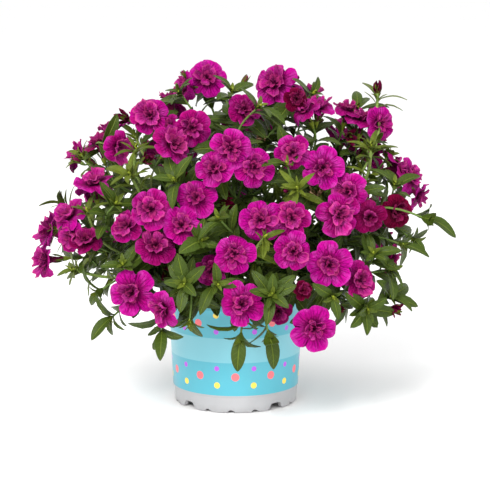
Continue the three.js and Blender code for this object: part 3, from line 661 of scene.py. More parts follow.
def add_whorl(skin, laid, spin, lobes, tone, draw, fullness):
    """The inner corolla: five cupped lobes over the notches of the outer one, no two alike."""
    turns, lobe, x, edge = lobe_columns()
    favoured = int(draw() * LOBES)
    sizes = np.where(lobe == favoured, 1.12, 0.78) + 0.3 * draw(LOBES)[lobe]
    crest = (lobes[lobe, 2] + 0.1) * (0.8 + 0.75 * draw(LOBES)[lobe])
    scoop = np.array([1.0 if k == favoured else draw() for k in range(LOBES)])[lobe]
    roll = 0.2 * draw(LOBES)[lobe] * (1 - scoop)
    lean = 0.4 * (draw(LOBES)[lobe] - 0.5)
    phases = draw(3) * TURN
    f = np.linspace(0, 1, 9)[:, None] ** 0.85
    angle = (turns + 0.5 / LOBES + spin) * TURN + 0.15 * np.sin(5 * x + phases[0]) * f
    out = lerp(0.1, lerp(0.62 * sizes * fullness, 0.26, edge**5), f ** (1.25 - 0.35 * scoop))
    out = out * (1 + f**2 * (0.09 * np.sin(3 * angle + phases[2]) + 0.05 * np.sin(11 * angle + phases[0])))
    height = lerp(crest, 0.04, edge**7) + lean * x + (0.1 + 0.08 * scoop) * edge**2 * (1 - edge**9)
    rise = lerp(np.sin(ramp(f, 0, 0.85) * math.pi / 2), f**1.5, scoop * 0.8)
    z = lerp(-0.12, height, rise) - roll * ramp(f, 0.68, 1) ** 2 * (1 - edge**2)
    z = z + f**2 * (0.05 * np.sin(7 * angle + phases[1]) + 0.04 * np.sin(19 * angle + phases[2]))
    z = z - 0.06 * hump(x, 0.06) * np.sin(f * math.pi)
    skin.sheet(laid(round_axis(out, angle, z)), marks_of(x, f, tone - 0.06, WHORL), PETAL, closed=True)


def add_heart(skin, laid, tone, draw, fullness):
    """Upright petals wrapped round the middle like a half-open bud."""
    first = draw()
    for k, (reach, rise, span) in enumerate(HEART_PETALS):
        size = (0.8 + 0.35 * draw()) * lerp(1, fullness, 0.6)
        tilt = 0.9 * draw()
        flare = 0.03 + 0.13 * draw()
        u = np.linspace(-1, 1, 9)[None, :]
        v = np.linspace(0, 1, 6)[:, None]
        high = v * (1 - 0.3 * abs(u) ** 2.2 * v)
        angle = (first + k * GOLDEN + 0.04 * draw()) * TURN + u * span * (0.6 + 0.4 * high)
        out = 0.04 + (reach * size - 0.04) * high**0.7 * (1 - 0.22 * u**2) + flare * high**5
        out = out * (1 + tilt * 0.3 * np.cos(u * 1.5)) + 0.03 * np.sin(5 * u + draw() * TURN) * high**2
        z = -0.1 + (rise * size + 0.1) * high + 0.035 * np.sin(5 * u + draw() * TURN) * v
        z = z - flare * 0.8 * ramp(high, 0.75, 1)
        marks = marks_of(u, v, tone + 0.15 * (draw() - 0.3), HEART)
        skin.sheet(laid(round_axis(out, angle, z)[:, ::-1]), marks[:, ::-1], PETAL * 0.9)


def add_blooms(stems, materials):
    nodes = {}
    for stem in stems:
        for bloom in stem.blooms:
            nodes.setdefault(bloom.node, []).append(bloom)
    for node in sorted(nodes):
        skin = Skin()
        for bloom in nodes[node]:
            add_bloom(skin, bloom)
        skin.piece(node.replace("bloom", "petals"), [materials["petals"]], node)


# -------- leaves and stems

BLADE = 0.45  # thickness of a leaf from FULL_LEAF in length on
FULL_LEAF = 18
LEAF_ROWS = np.array((0, 0.08, 0.18, 0.3, 0.43, 0.56, 0.69, 0.81, 0.91, 0.975, 1.0))
LEAVES, STALKS, PETALS, WITHERED = 0, 1, 2, 3  # places in a leafy piece's list of materials
# the leaves between the solids' own: distance apart, shortest and longest, and how young they look
STEM_LEAVES = Sizes(gap=5.5, lengths=(17, 27), young=0.0, width=0.35, start=0)
TWIG_LEAVES = Sizes(gap=5.5, lengths=(15, 26), young=0.1, width=0.35, start=8)
BLOOM_LEAVES = Sizes(gap=6.5, lengths=(15, 26), young=0.1, width=0.35, start=8)
HAIRY_LEAVES = Sizes(gap=5.5, lengths=(13, 22), young=0.6, width=0.18, start=8)
# growing ends: a few young leaves, or a tuft of narrow hairy ones
SMOOTH = Sizes(count=5, depth=3.6, spread=52, length=13, width=0.36, young=0.2)
HAIRY = Sizes(count=9, depth=7, spread=44, length=14, width=0.2, young=0.75)
# the pixels nearest to the shoots that end in a hairy tuft
TUFTS = [
    (350, 140), (367, 150), (116, 150), (122, 168), (135, 178), (83, 166), (78, 205),
    (60, 213), (55, 230), (74, 270), (105, 230), (377, 97), (262, 215), (322, 187),
]
TUFT_REACH = 17  # from a tuft's end to the solids' leaves that belong to it
CLOSED, FADED, BROWN = "closed", "faded", "brown"
BUD_STALK = (9, 20)  # shortest and longest
# buds and faded flowers that the photograph shows, by pixel
BUDS = [
    (377, 92, FADED), (245, 81, CLOSED), (186, 77, CLOSED), (125, 120, FADED), (345, 135, FADED),
    (264, 138, BROWN), (317, 195, BROWN), (289, 190, CLOSED), (144, 162, FADED), (79, 162, CLOSED),
    (223, 205, FADED), (166, 272, FADED), (273, 260, CLOSED), (344, 308, FADED), (392, 309, FADED),
    (305, 182, CLOSED), (70, 235, CLOSED), (365, 150, CLOSED), (356, 118, CLOSED), (330, 175, CLOSED),
]


def add_leaf(skin, leaf, slot=LEAVES, columns=5, limp=0.0):
    """A blade folded along its midrib, widest near its middle, and crumpled as far as limp says."""
    draw = dice(leaf.seed + 11)
    across = np.cross(leaf.way, leaf.sky)
    fold = 0.06 + 0.42 * draw() ** 1.5
    wave = 0.05 + 0.05 * draw()
    phase = draw() * TURN
    tone = draw()
    twist = 1.1 * (draw() - 0.5)
    u = np.linspace(-1, 1, columns)[None, :]
    v = (LEAF_ROWS if columns > 5 else LEAF_ROWS[::2])[:, None]
    length = leaf.length
    half = length * leaf.width / 2 * 1.08 * np.sin(math.pi * v**1.1) ** 0.62
    half = np.maximum(half, length * 0.028 * (1 - v) + 0.12)
    high = v * (0.55 - v) * leaf.bend * length + abs(u) * half * math.sin(fold)
    high = high + wave * half * np.sin(7 * v + phase) * u**2 + twist * u * half * v**2 * 0.5
    high = high + limp * half * np.sin(4 * u + 9 * v + phase) * v
    places = np.broadcast_arrays(v * length, u * half * math.cos(fold), high)
    top = leaf.base + np.stack(places, axis=-1) @ np.array((leaf.way, across, leaf.sky))
    young = np.clip(leaf.young + 0.25 * (tone - 0.5), 0, 1)
    # painted shade: leaves deep inside the plant get a darker green, as painted_light falls towards 0 there;
    # it goes to the leaf's kind mark
    painted_light = np.clip(0.45 * tone + 2.2 * (outness(leaf.base) - 0.77), 0, 1)
    marks = marks_of(u, v, young, painted_light)
    skin.sheet(top[:, ::-1], marks[:, ::-1], BLADE * min(1, length / FULL_LEAF), slot)


def outness(place):
    """How far out a place is in the plant: 0 at its middle and about 1 at its outside."""
    return norm((place - MOUND_CENTRE) / MOUND_RADII)


def clear_of_blooms(points, blooms, front=24.0):
    """Whether points keep out of every bloom and out of the room before its face."""
    for bloom in blooms:
        along, aside = off_axis(points, bloom.place, bloom.axis)
        if ((aside < 0.95 * bloom.radius) & (along > -0.25 * bloom.radius) & (along < front)).any():
            return False
    return True


def clear_of_pot(points):
    out = np.hypot(points[:, 0], points[:, 1])
    return not ((out < POT.rim_radius + 1.5) & (points[:, 2] < POT.height + 1)).any()


def extra_leaves(path, blooms, seed, growth):
    """Leaves set round a path by the golden turn, where no bloom is in their way."""
    draw = dice(seed)
    reach = np.concatenate([[0], np.cumsum(norm(np.diff(path, axis=0)))])

    def place(at):
        return np.array([np.interp(at, reach, path[:, i]) for i in range(3)])

    turn = draw()
    leaves = []
    at = growth.start + growth.gap * draw()
    while at < reach[-1]:
        base = place(at)
        along = unit(place(min(at + 2, reach[-1])) - place(max(at - 2, 0)))
        for attempt in range(3):
            way, _ = splayed(along, turn + 0.31 * attempt, 48 + 26 * draw())
            sky = square_to(way, along)
            length = lerp(*growth.lengths, draw())
            bend = 0.25 + 0.5 * draw()
            width = growth.width + 0.1 * draw()
            shares = np.array((0.35, 0.6, 0.8, 1.0))[:, None]
            ends = base + way * shares * length + sky * bend * length * shares * (0.55 - shares)
            if clear_of_blooms(ends, blooms) and clear_of_pot(ends):
                number = seed * 13 + len(leaves)
                leaves.append(Leaf(base, way, sky, length, bend, width, growth.young, number))
                break
        turn += GOLDEN
        at += growth.gap * (0.75 + 0.5 * draw())
    return leaves


def add_sepals(skin, bloom):
    """The calyx: a cup and five narrow sepals that hold the tube."""
    draw = dice(bloom.seed + 5000)
    neck = bloom.seat - bloom.axis * CALYX.length
    shares, radii = np.array(((0, 0.3, 0.55, 0.8, 1.0), (0.85, 1.25, 1.85, 2.2, 2.25)))
    rings = rings_along(lerp(neck, bloom.seat, shares[:, None]), radii, 10)
    skin.tube(rings, marks_of(0, shares[:, None], 0.55, 0.5), LEAVES)
    first = draw()
    for k in range(5):
        way, out = splayed(bloom.axis, first + k / 5, 16 + 22 * draw())
        base = bloom.seat - bloom.axis * 0.8 + out * 1.7
        length = bloom.radius * (0.46 + 0.16 * draw())
        bend = -0.3 - 0.5 * draw()
        sepal = Leaf(base, way, square_to(way, -out), length, bend, 0.2, 0.5, bloom.seed * 5 + k)
        add_leaf(skin, sepal, columns=3)


def add_tip(skin, twig, hairy):
    """The growing end of a leafy shoot: a few young leaves round a small bud, or a tuft of hairy ones."""
    draw = dice(twig.seed + 900)
    first = draw()
    style = HAIRY if hairy else SMOOTH
    count = style.count + int(2 * draw())
    for k in range(count):
        share = k / count
        base = twig.last - twig.axis * lerp(style.depth, 0.2, share)
        spread = lerp(style.spread, 10, share) + 14 * (draw() - 0.5)
        way, _ = splayed(twig.axis, first + GOLDEN * k, spread)
        length = lerp(style.length, 6.5, share) * (0.8 + 0.4 * draw())
        bend = 0.3 + 0.5 * draw()
        sky, young = square_to(way, twig.axis), lerp(style.young, 0.9, share)
        add_leaf(skin, Leaf(base, way, sky, length, bend, style.width, young, twig.seed * 7 + k))
    bud = twig.last + twig.axis * np.array((-1.5, 0, 1.5, 3, 4.2))[:, None]
    skin.rod(bud, (0.8, 1.2, 1.3, 0.9, 0.3), 6, 0.9, LEAVES)


def add_bud(skin, start, end, kind, seed):
    """A bud or a faded flower on its own short stalk."""
    draw = dice(seed)
    sway = 0.3 * (draw(2) - 0.5)
    axis = unit(unit(end - start) + (*sway, 0) + (0, -0.25, 0.35))
    neck = end - axis * 5
    bend = (start + neck) / 2 + UP * 1.5 - axis * 1.5
    stalk = np.vstack([bezier(start, bend, neck, np.linspace(0, 1, 6)), neck + axis * 0.5])
    skin.rod(stalk, np.linspace(0.6, 0.75, 7), 6, 0.6, STALKS)
    cup = neck + axis * np.array((0, 1.2, 2.8, 4.4, 5.0))[:, None]
    skin.rod(cup, (0.7, 1.2, 1.55, 1.6, 1.3), 8, 0.7, STALKS)
    for k in range(5):
        way, out = splayed(axis, draw() * 0.1 + k / 5, 10 + 18 * draw())
        base = end - axis * 1.2 + out * 1.1
        length = 7.5 + 3 * draw()
        sepal = Leaf(base, way, square_to(way, -out), length, -0.3, 0.24, 0.7, seed * 5 + k)
        add_leaf(skin, sepal, columns=3)
    if kind == CLOSED:
        body = end + axis * np.array((-1, 1, 3, 5, 6.6, 7.6))[:, None]
        rings = rings_along(body, (1.0, 1.35, 1.75, 1.7, 1.1, 0.3), 10)
        ribs = 1 + 0.12 * np.cos(np.arange(10) / 10 * TURN * 5)[None, :, None]
        middle = rings.mean(axis=1, keepdims=True)
        skin.tube(lerp(middle, rings, ribs), marks_of(0.3, 0.5, 0.75, TUBE), PETALS)
        return
    young, slot = (0.0, WITHERED) if kind == BROWN else (1.0, PETALS)
    for k in range(6):
        way, out = splayed(axis, draw() * 0.15 + k / 6, 8 + 26 * draw())
        base = end - axis * 0.8 + out * 0.6
        length = 8 + 5 * draw()
        bend = 0.8 - 1.6 * draw()
        petal = Leaf(base, way, square_to(way, out), length, bend, 0.36, young, seed * 11 + k)
        add_leaf(skin, petal, slot, limp=0.5)


def bud_spots(stems, blooms):
    """Where each bud or faded flower hangs: its stem, the point that carries it, its end and its kind."""
    spots = []
    front = [(s, p) for s in stems for t in s.twigs for p in t.path()[4:-1] if p[1] < 20]
    seen = np.array([in_picture(point) for _, point in front])
    for x, y, kind in BUDS:
        stem, start = front[nearest(seen, (x, y))]
        reach = spot_at((x, y), start) - start
        end = start + unit(reach - sight_axes()[0] * 6) * np.clip(norm(reach), *BUD_STALK)
        spots.append((stem, start, end, kind))
    draw = dice(555)
    for stem in stems:
        for twig in stem.twigs:
            if twig.last[1] < 25 or draw() < 0.55:
                continue
            start = twig.path()[6]
            out = turned(twig.axis, level_side(twig.axis), draw())
            end = start + unit(out + twig.axis) * lerp(*BUD_STALK, draw())
            if clear_of_blooms(np.array([end, (start + end) / 2]), blooms):
                spots.append((stem, start, end, FADED if draw() < 0.4 else CLOSED))
    return spots


def tufted(stems):
    """The twigs that end in a hairy tuft: those nearest to the photograph's, and some at the back."""
    tips = [t for s in stems for t in s.twigs if not t.blooms]
    front = [t for t in tips if t.last[1] < 40]
    seen = np.array([in_picture(t.last) for t in front])
    return [front[nearest(seen, pixel)] for pixel in TUFTS] + [t for t in tips if t.last[1] > 40][::3]


def add_stems(stems, blooms, materials):
    """Each main stem with everything leafy that grows on it, as one piece."""
    kinds = [materials[name] for name in ("leaves", "stalks", "petals", "withered")]
    spots = bud_spots(stems, blooms)
    tufts = tufted(stems)
    for number, stem in enumerate(stems):
        skin = Skin()
        main = np.vstack([stem.root, bezier(stem.start, stem.bend, stem.end, np.linspace(0, 1, 14))])
        green = np.linspace(0.1, 0.5, len(main))[:, None]
        skin.rod(main, np.linspace(*STEM.radii, len(main)), 8, green, STALKS)
        for leaf in extra_leaves(main[3:], blooms, 400 + number, STEM_LEAVES):
            add_leaf(skin, leaf)
        for i, leaf in enumerate(stem.leaves):
            leaf.seed = 100 * number + i
            if any(norm(leaf.base - t.last) < TUFT_REACH for t in tufts):
                leaf.width, leaf.young = 0.25, 0.6
            add_leaf(skin, leaf, columns=7)
        for i, twig in enumerate(stem.twigs):
            twig.seed = 1000 * (number + 1) + i
            add_twig(skin, twig, blooms, any(twig is t for t in tufts))
        for bloom in stem.blooms:
            add_sepals(skin, bloom)
        for i, (owner, start, end, kind) in enumerate(spots):
            if owner is stem:
                add_bud(skin, start, end, kind, 8000 + i)
        skin.piece(stem.node.replace("stem", "shoot"), kinds, stem.node)


def add_twig(skin, twig, blooms, hairy):
    """A twig with its leaves, and the growing end of one that carries no bloom."""
    path = twig.path(12)
    growth = HAIRY_LEAVES if hairy else TWIG_LEAVES
    if twig.blooms:
        path = path[:-1]
        growth = BLOOM_LEAVES
    radii = np.interp(np.linspace(0, 1, len(path)), (0, 0.3, 1), (1.25, 0.95, 1.3 if hairy else 0.8))
    skin.rod(path, radii, 6, 0.85 if hairy else 0.6, STALKS)
    for leaf in extra_leaves(path, blooms, twig.seed, growth):
        add_leaf(skin, leaf)
    if not twig.blooms:
        add_tip(skin, twig, hairy)


# -------- pot and potting mix

POT_COLUMNS = 192
WALL_ROWS = 14
ROUND = 0.4  # rounding of the pot's edges
SPOKES = 9  # points on the line from the middle of the pot's floor to its rim
SOIL_COLUMNS = 96
SOIL_ROWS = 26
CRUMBS = 260


def lathe(profile, columns):
    """Rings of points, rows x columns, from a profile of radius and height."""
    angles = np.arange(columns) / columns * TURN
    profile = np.asarray(profile, float)
    r, z = profile[:, :1], profile[:, 1:]
    return np.stack([r * np.sin(angles), -r * np.cos(angles), z + 0 * angles], axis=-1)


def foot_edge(angle):
    """The height of the foot's lower edge, at degrees anticlockwise from the back."""
    pad = 360 / FOOT.arches
    notches = np.arange(1, FOOT.notches + 1) / (FOOT.notches + 1)
    openings = [(share, FOOT.notch_width, FOOT.notch_height) for share in notches]
    height = 0
    for share, width, tall in [(0, FOOT.arch_width, FOOT.arch_height), *openings]:
        off = (angle - FOOT.arch_turn - pad * share) % pad - pad / 2
        away = abs(np.radians(off)) * POT.foot_radius
        height = np.maximum(height, tall * ramp(away, (width + tall) / 2, width / 2))
    return height


def add_pot(materials):
    """The moulded pot as one closed shell, from the foot's inside round the foot and rim to the floor."""
    foot, rim, height = POT.foot_radius, POT.rim_radius, POT.height
    step, floor = POT.foot_height, POT.floor_under
    band = height - POT.rim_band
    wall_top = rim - POT.rim_step
    inner_top = wall_top - POT.wall
    inner_foot = foot - POT.foot_width
    flare = foot + POT.taper
    shoulder = flare + POT.foot_step
    wall = np.linspace(0.1, 1, WALL_ROWS)
    profile = [
        (inner_foot - POT.taper, floor),
        (inner_foot, 0.0),
        (foot - ROUND, 0.0),
        (foot, ROUND),
        (foot + 0.3, 6.0),
        (flare, step - 1.4),
        (flare + 0.1, step - 0.8),
        (shoulder - 0.15, step - 0.2),
        (shoulder, step + 0.3),
        *[(lerp(shoulder, wall_top, t), lerp(step + 0.3, band, t)) for t in wall],
        (wall_top + 0.25, band + 0.15),
        (rim - 0.2, band + 0.3),
        (rim, band + 0.8),
        (rim, height - 0.6),
        (rim - 0.25, height - 0.12),
        (rim - 0.7, height),
        (inner_top + ROUND, height),
        (inner_top, height - ROUND),
        (lerp(foot - POT.wall, inner_top, 0.9), 80.0),
        (foot - POT.wall, floor + POT.wall),
    ]
    rings = lathe(profile, POT_COLUMNS)
    turns = np.arange(POT_COLUMNS) / POT_COLUMNS
    edge = foot_edge((turns * 360 + 180) % 360)
    for row, rise in ((1, 0), (2, 0), (3, ROUND)):
        rings[row, :, 2] = np.maximum(rings[row, :, 2], edge + rise)
    skin = Skin()
    a = skin.put(rings, marks_of(turns, rings[..., 2] / height, 0, 0))
    a = np.hstack([a, a[:, :1]])
    skin.face(a[:-1, :-1], a[:-1, 1:], a[1:, 1:], a[1:, :-1])
    add_floor(skin, a, profile)
    skin.piece("pot_shell", [materials["pot"]], "pot")


def add_floor(skin, a, profile):
    """The floor's two faces, with the drain holes through them."""
    sector = POT_COLUMNS // DRAIN.count
    faces = (
        (POT.floor_under, profile[0][0], a[0, :-1]),
        (POT.floor_under + POT.wall, profile[-1][0], a[-1, :-1]),
    )
    middles = [int(skin.put(UP * level, marks_of(0, 0, 0, 1))) for level, _, _ in faces]
    for k in range(DRAIN.count):
        columns = np.arange(sector + 1) + k * sector
        around = lathe([(1, 0)], POT_COLUMNS)[0, columns % POT_COLUMNS]
        where = (k + 0.5) * sector / POT_COLUMNS * TURN
        hole = np.array((math.sin(where), -math.cos(where), 0.0)) * DRAIN.ring
        edges = []
        for (level, radius, outer), middle in zip(faces, middles):
            ring = outer[columns % POT_COLUMNS]
            edges.append(sector_edges(skin, ring, around, radius, level, hole + UP * level, middle))
        (low_rim, low_hole), (top_rim, top_hole) = edges
        for p, q in ((low_rim, low_hole), (low_hole, top_hole), (top_hole, top_rim)):
            skin.face(p, np.roll(p, -1), np.roll(q, -1), q)


def sector_edges(skin, ring, around, radius, level, hole, middle):
    """The points round one sixth of a face of the floor, and as many round the drain hole in it."""
    left = around[0] * np.linspace(radius, 0, SPOKES)[1:-1, None] + UP * level
    right = around[-1] * np.linspace(0, radius, SPOKES)[1:-1, None] + UP * level
    sides = [skin.put(side, marks_of(0, 0, 0, 1)) for side in (left, right)]
    rim = np.concatenate([ring[::-1], sides[0], [middle], sides[1]])
    spokes = np.vstack([around[::-1] * radius + UP * level, left, [UP * level], right]) - hole
    spokes = spokes / norm(spokes)[:, None]
    return rim, skin.put(hole + spokes * DRAIN.radius, marks_of(0, 0, 0, 1))


def noise_of(points, scale, seed):
    """Smooth values in -1..1 that change over a distance of about scale."""
    draw = dice(seed)
    total = np.zeros(points.shape[:-1])
    for octave in range(4):
        way = unit(draw(3) - 0.5) * TURN / scale * (1 + 0.6 * octave)
        total = total + np.sin(points @ way + draw() * TURN) / (1 + 0.4 * octave)
    return total / 2.2


def add_soil(materials):
    """Crumbly potting mix, with bark and grit on it."""
    radius = lerp(POT.foot_radius - POT.wall, POT.rim_radius - POT.rim_step - POT.wall, 0.9)
    rows = np.linspace(0.02, 1, SOIL_ROWS)[:, None]
    profile = np.hstack([rows * (radius - 0.3), SOIL.top + SOIL.mound * np.cos(rows * math.pi / 2)])
    rings = lathe(profile, SOIL_COLUMNS)
    rings[..., 2] += 0.9 * noise_of(rings, 9, 31) + 0.5 * noise_of(rings, 3.5, 32)
    low = lathe([(profile[-1][0] - 4, POT.floor_under + POT.wall + 0.4)], SOIL_COLUMNS)
    skin = Skin()
    skin.tube(np.concatenate([low, rings[::-1]]), marks_of(0.5, np.vstack([rows, [[1]]]), 0, 0))
    draw = dice(77)
    for _ in range(CRUMBS):
        out = (radius - 4) * math.sqrt(draw())
        turn = draw() * TURN
        size = 0.7 + 1.7 * draw() ** 2
        middle = np.array((out * math.cos(turn), out * math.sin(turn), SOIL.top + 2.4 - out * 0.03))
        way = unit((draw(3) - 0.5) * (1, 1, 0.4))
        path = middle + way * np.array((-1, -0.6, 0.1, 0.7, 1))[:, None] * size
        crumb = rings_along(path, np.array((0.25, 0.62, 0.72, 0.5, 0.2)) * size, 6)
        skin.tube(crumb, marks_of(0.5, 0.5, draw(), 1))
    skin.piece("potting_mix", [materials["soil"]], "soil")


# -------- materials

DOTS_ROUND = 11  # dots in each row round the pot
CORAL, YELLOW, VIOLET = (240, 112, 120), (244, 212, 84), (178, 84, 214)
PRINT = Sizes(low=13.7, high=86.9, radius=53, band_height=50, band_width=20)
SOFT = Sizes(print=0.15, band=0.6, dot=0.25)  # how far the print's edges fade
# rows of dots: height, radius, shift by a share of a gap, colour
DOTS = [
    (22, 2.6, 0.0, YELLOW),
    (29, 3.4, 0.5, CORAL),
    (35.5, 2.2, 0.0, VIOLET),
    (65, 2.2, 0.0, VIOLET),
    (71, 3.2, 0.5, CORAL),
    (78, 2.4, 0.0, YELLOW),
]


def linear(red, green, blue):
    """A colour given as 0..255 display values, as the linear values that shaders take."""
    shares = (red / 255, green / 255, blue / 255)
    return (*[s / 12.92 if s <= 0.04045 else ((s + 0.055) / 1.055) ** 2.4 for s in shares], 1.0)


class Paint:
    """A material's nodes, written as expressions. An input is a socket, a number or a colour in 0..255."""

    def __init__(self, name, roughness, **settings):
        self.material = bpy.data.materials.new(name)
        self.material.use_nodes = True
        self.tree = self.material.node_tree
        self.shader = self.tree.nodes["Principled BSDF"]
        self.shader.inputs["Roughness"].default_value = roughness
        for key, value in settings.items():
            self.shader.inputs[key.replace("_", " ")].default_value = value
        self.place = self.node("ShaderNodeTexCoord").outputs["Object"]
        self.base = None  # the colour so far

    def node(self, kind, inputs=None, **settings):
        made = self.tree.nodes.new(kind)
        for key, value in settings.items():
            setattr(made, key, value)
        for key, value in (inputs or {}).items():
            self.feed(made.inputs[key], value)
        return made

    def feed(self, socket, value):
        if isinstance(value, bpy.types.NodeSocket):
            self.tree.links.new(value, socket)
        else:
            socket.default_value = linear(*value) if isinstance(value, tuple) else value

    def marks(self, *names):
        return [self.node("ShaderNodeAttribute", attribute_name=name).outputs["Fac"] for name in names]

    def math(self, operation, a, b=0.0, clamp=False):
        made = self.node("ShaderNodeMath", {0: a, 1: b}, operation=operation, use_clamp=clamp)
        return made.outputs[0]

    def times(self, a, b, clamp=False):
        return self.math("MULTIPLY", a, b, clamp)

    def plus(self, a, b):
        return self.math("ADD", a, b)

    def fade(self, value, low, high, to_low=0.0, to_high=1.0):
        """A smooth step of a value, from to_low at low to to_high at high."""
        inputs = {"Value": value, "From Min": low, "From Max": high, "To Min": to_low, "To Max": to_high}
        return self.node("ShaderNodeMapRange", inputs, interpolation_type="SMOOTHSTEP").outputs["Result"]

    def mix(self, share, a, b):
        """A blend of two colours, or of two numbers."""
        plain = all(isinstance(end, (int, float)) or getattr(end, "type", "") == "VALUE" for end in (a, b))
        made = self.node("ShaderNodeMix", data_type="FLOAT" if plain else "RGBA")
        first = 2 if plain else 6
        self.feed(made.inputs[0], share)
        self.feed(made.inputs[first], a)
        self.feed(made.inputs[first + 1], b)
        return made.outputs[0 if plain else 2]

    def gain(self, colour, share, factor):
        """A colour times factor where share is 1, and unchanged where it is 0."""
        scale = self.plus(self.times(share, factor - 1), 1.0)
        made = self.node("ShaderNodeVectorMath", {"Vector": colour, "Scale": scale}, operation="SCALE")
        return made.outputs["Vector"]

    def noise(self, scale, detail=3.0, vector=None):
        inputs = {"Vector": vector or self.place, "Scale": scale, "Detail": detail}
        return self.node("ShaderNodeTexNoise", inputs).outputs["Fac"]

    def vector(self, x, y, z=0.0):
        return self.node("ShaderNodeCombineXYZ", {"X": x, "Y": y, "Z": z}).outputs["Vector"]

    def cells(self, scale, vector=None, feature="F1"):
        """The distance to the middle of a cell, or to its edge."""
        inputs = {"Vector": vector or self.place, "Scale": scale}
        return self.node("ShaderNodeTexVoronoi", inputs, feature=feature).outputs["Distance"]

    def net(self, x, y):
        """The distance to the lines of a net laid over two marks."""
        return self.cells(1, self.vector(x, y), "DISTANCE_TO_EDGE")

    def lay(self, share, colour):
        """Lays a colour over the base where share is 1."""
        self.base = self.mix(share, self.base, colour)

    def shade(self, share, factor):
        """Multiplies the base by factor where share is 1."""
        self.base = self.gain(self.base, share, factor)

    def finish(self, height, distance, strength=1.0):
        """Sets the colour to the base, adds a bump and gives the material back."""
        self.feed(self.shader.inputs["Base Color"], self.base)
        inputs = {"Height": height, "Distance": distance, "Strength": strength}
        self.feed(self.shader.inputs["Normal"], self.node("ShaderNodeBump", inputs).outputs["Normal"])
        return self.material


def petal_material():
    """Velvety magenta with fine radial streaks, redder and darker inwards and paler at the edges and in
    patches; the darkening inwards and in the creases is partly painted shade, and the paler edges and
    patches are partly painted highlight and sheen.
    """
    p = Paint("petals", 0.45, Specular_IOR_Level=0.025)
    across, along, tone, kind, under = p.marks("across", "along", "tone", "kind", "under")
    inner = p.fade(kind, 0.3, 0.7)
    heart = p.fade(kind, 1.4, 1.8)
    middle = p.math("ABSOLUTE", across)
    old = p.fade(tone, 0.15, 1.0)
    violet = p.mix(old, (208, 2, 166), (156, 0, 60))
    # redder and darker towards the throat: partly the petals' own colour and partly painted shade near the
    # middle of the bloom
    red = p.mix(old, (184, 0, 102), (108, 0, 30))
    share = p.plus(p.fade(p.noise(90, 3), 0.35, 0.65), p.fade(tone, 0.35, FADING))
    share = p.times(share, p.fade(along, 0.2, 0.9, 0.1, 1.0), clamp=True)
    p.base = p.mix(share, red, violet)
    # paler patches: partly the petals' own mottling and partly painted sheen
    pale = p.mix(old, (240, 100, 220), violet)
    p.lay(p.fade(p.noise(150, 5), 0.46, 0.66, 0.0, 0.65), pale)
    p.lay(p.times(inner, p.mix(old, 0.45, 0.1)), (240, 66, 160))
    # paler patches on the inner petals: partly their own colour and partly painted light where they shade
    # one another
    painted_light = p.times(inner, p.fade(p.noise(190, 4), 0.4, 0.62, 0.0, 0.7))
    p.lay(p.times(painted_light, p.mix(old, 1.0, 0.2)), (240, 104, 204))
    streaks = p.noise(1, 3, p.vector(p.times(across, 34), p.times(along, 1.6), tone))
    p.shade(p.fade(streaks, 0.5, 0.7), 1.35)
    p.shade(p.fade(streaks, 0.52, 0.3), 0.62)
    veins = p.fade(p.net(p.times(across, 7), p.times(along, 1.5)), 0.12, 0.0)
    veins = p.times(veins, p.fade(along, 1.02, 0.6))
    p.shade(veins, 0.66)
    p.shade(p.fade(p.net(p.times(across, 22), p.times(along, 6)), 0.1, 0.0), 0.78)
    # a dark line down each lobe's middle: partly its own midvein and partly painted shade in the crease
    midvein_and_crease_shade = p.times(p.fade(middle, 0.07, 0.0), p.fade(along, 1.0, 0.6))
    p.shade(p.times(midvein_and_crease_shade, p.fade(heart, 1.0, 0.0)), 0.3)
    # paler, salmon-tinted edges: partly the petals' own rims and partly painted highlight where the rolled
    # edges catch the light
    rim = p.fade(along, p.mix(inner, 0.92, 0.8), 1.0)
    rim = p.math("MAXIMUM", rim, p.times(heart, p.fade(middle, 0.8, 1.0)))
    share = p.times(p.mix(inner, 0.6, 0.85), p.mix(old, 1.0, 0.3))
    share = p.times(share, p.fade(p.noise(110, 3), 0.36, 0.6, 0.25, 1.0))
    p.lay(p.times(rim, share), p.mix(inner, (228, 84, 204), (246, 120, 164)))
    # dark throat: partly the petals' own dark throat and partly painted shade under the inner petals
    throat_and_painted_shade = p.mix(inner, p.fade(along, 0.55, 0.22), p.fade(along, 0.5, 0.06))
    p.lay(p.times(throat_and_painted_shade, 0.95), (72, 0, 20))
    blush = p.times(heart, p.mix(old, 0.75, 0.2))
    p.lay(p.times(blush, p.fade(along, 0.3, 0.8)), (234, 78, 130))
    p.lay(p.fade(kind, 2.4, 2.6), (110, 24, 66))
    back = p.gain(p.mix(old, (158, 14, 112), (92, 6, 44)), streaks, 0.7)
    p.lay(p.times(under, 0.7), back)
    height = p.plus(p.times(veins, -0.5), p.times(streaks, 0.8))
    return p.finish(p.plus(height, p.times(p.noise(420, 3), 0.9)), 0.0018)


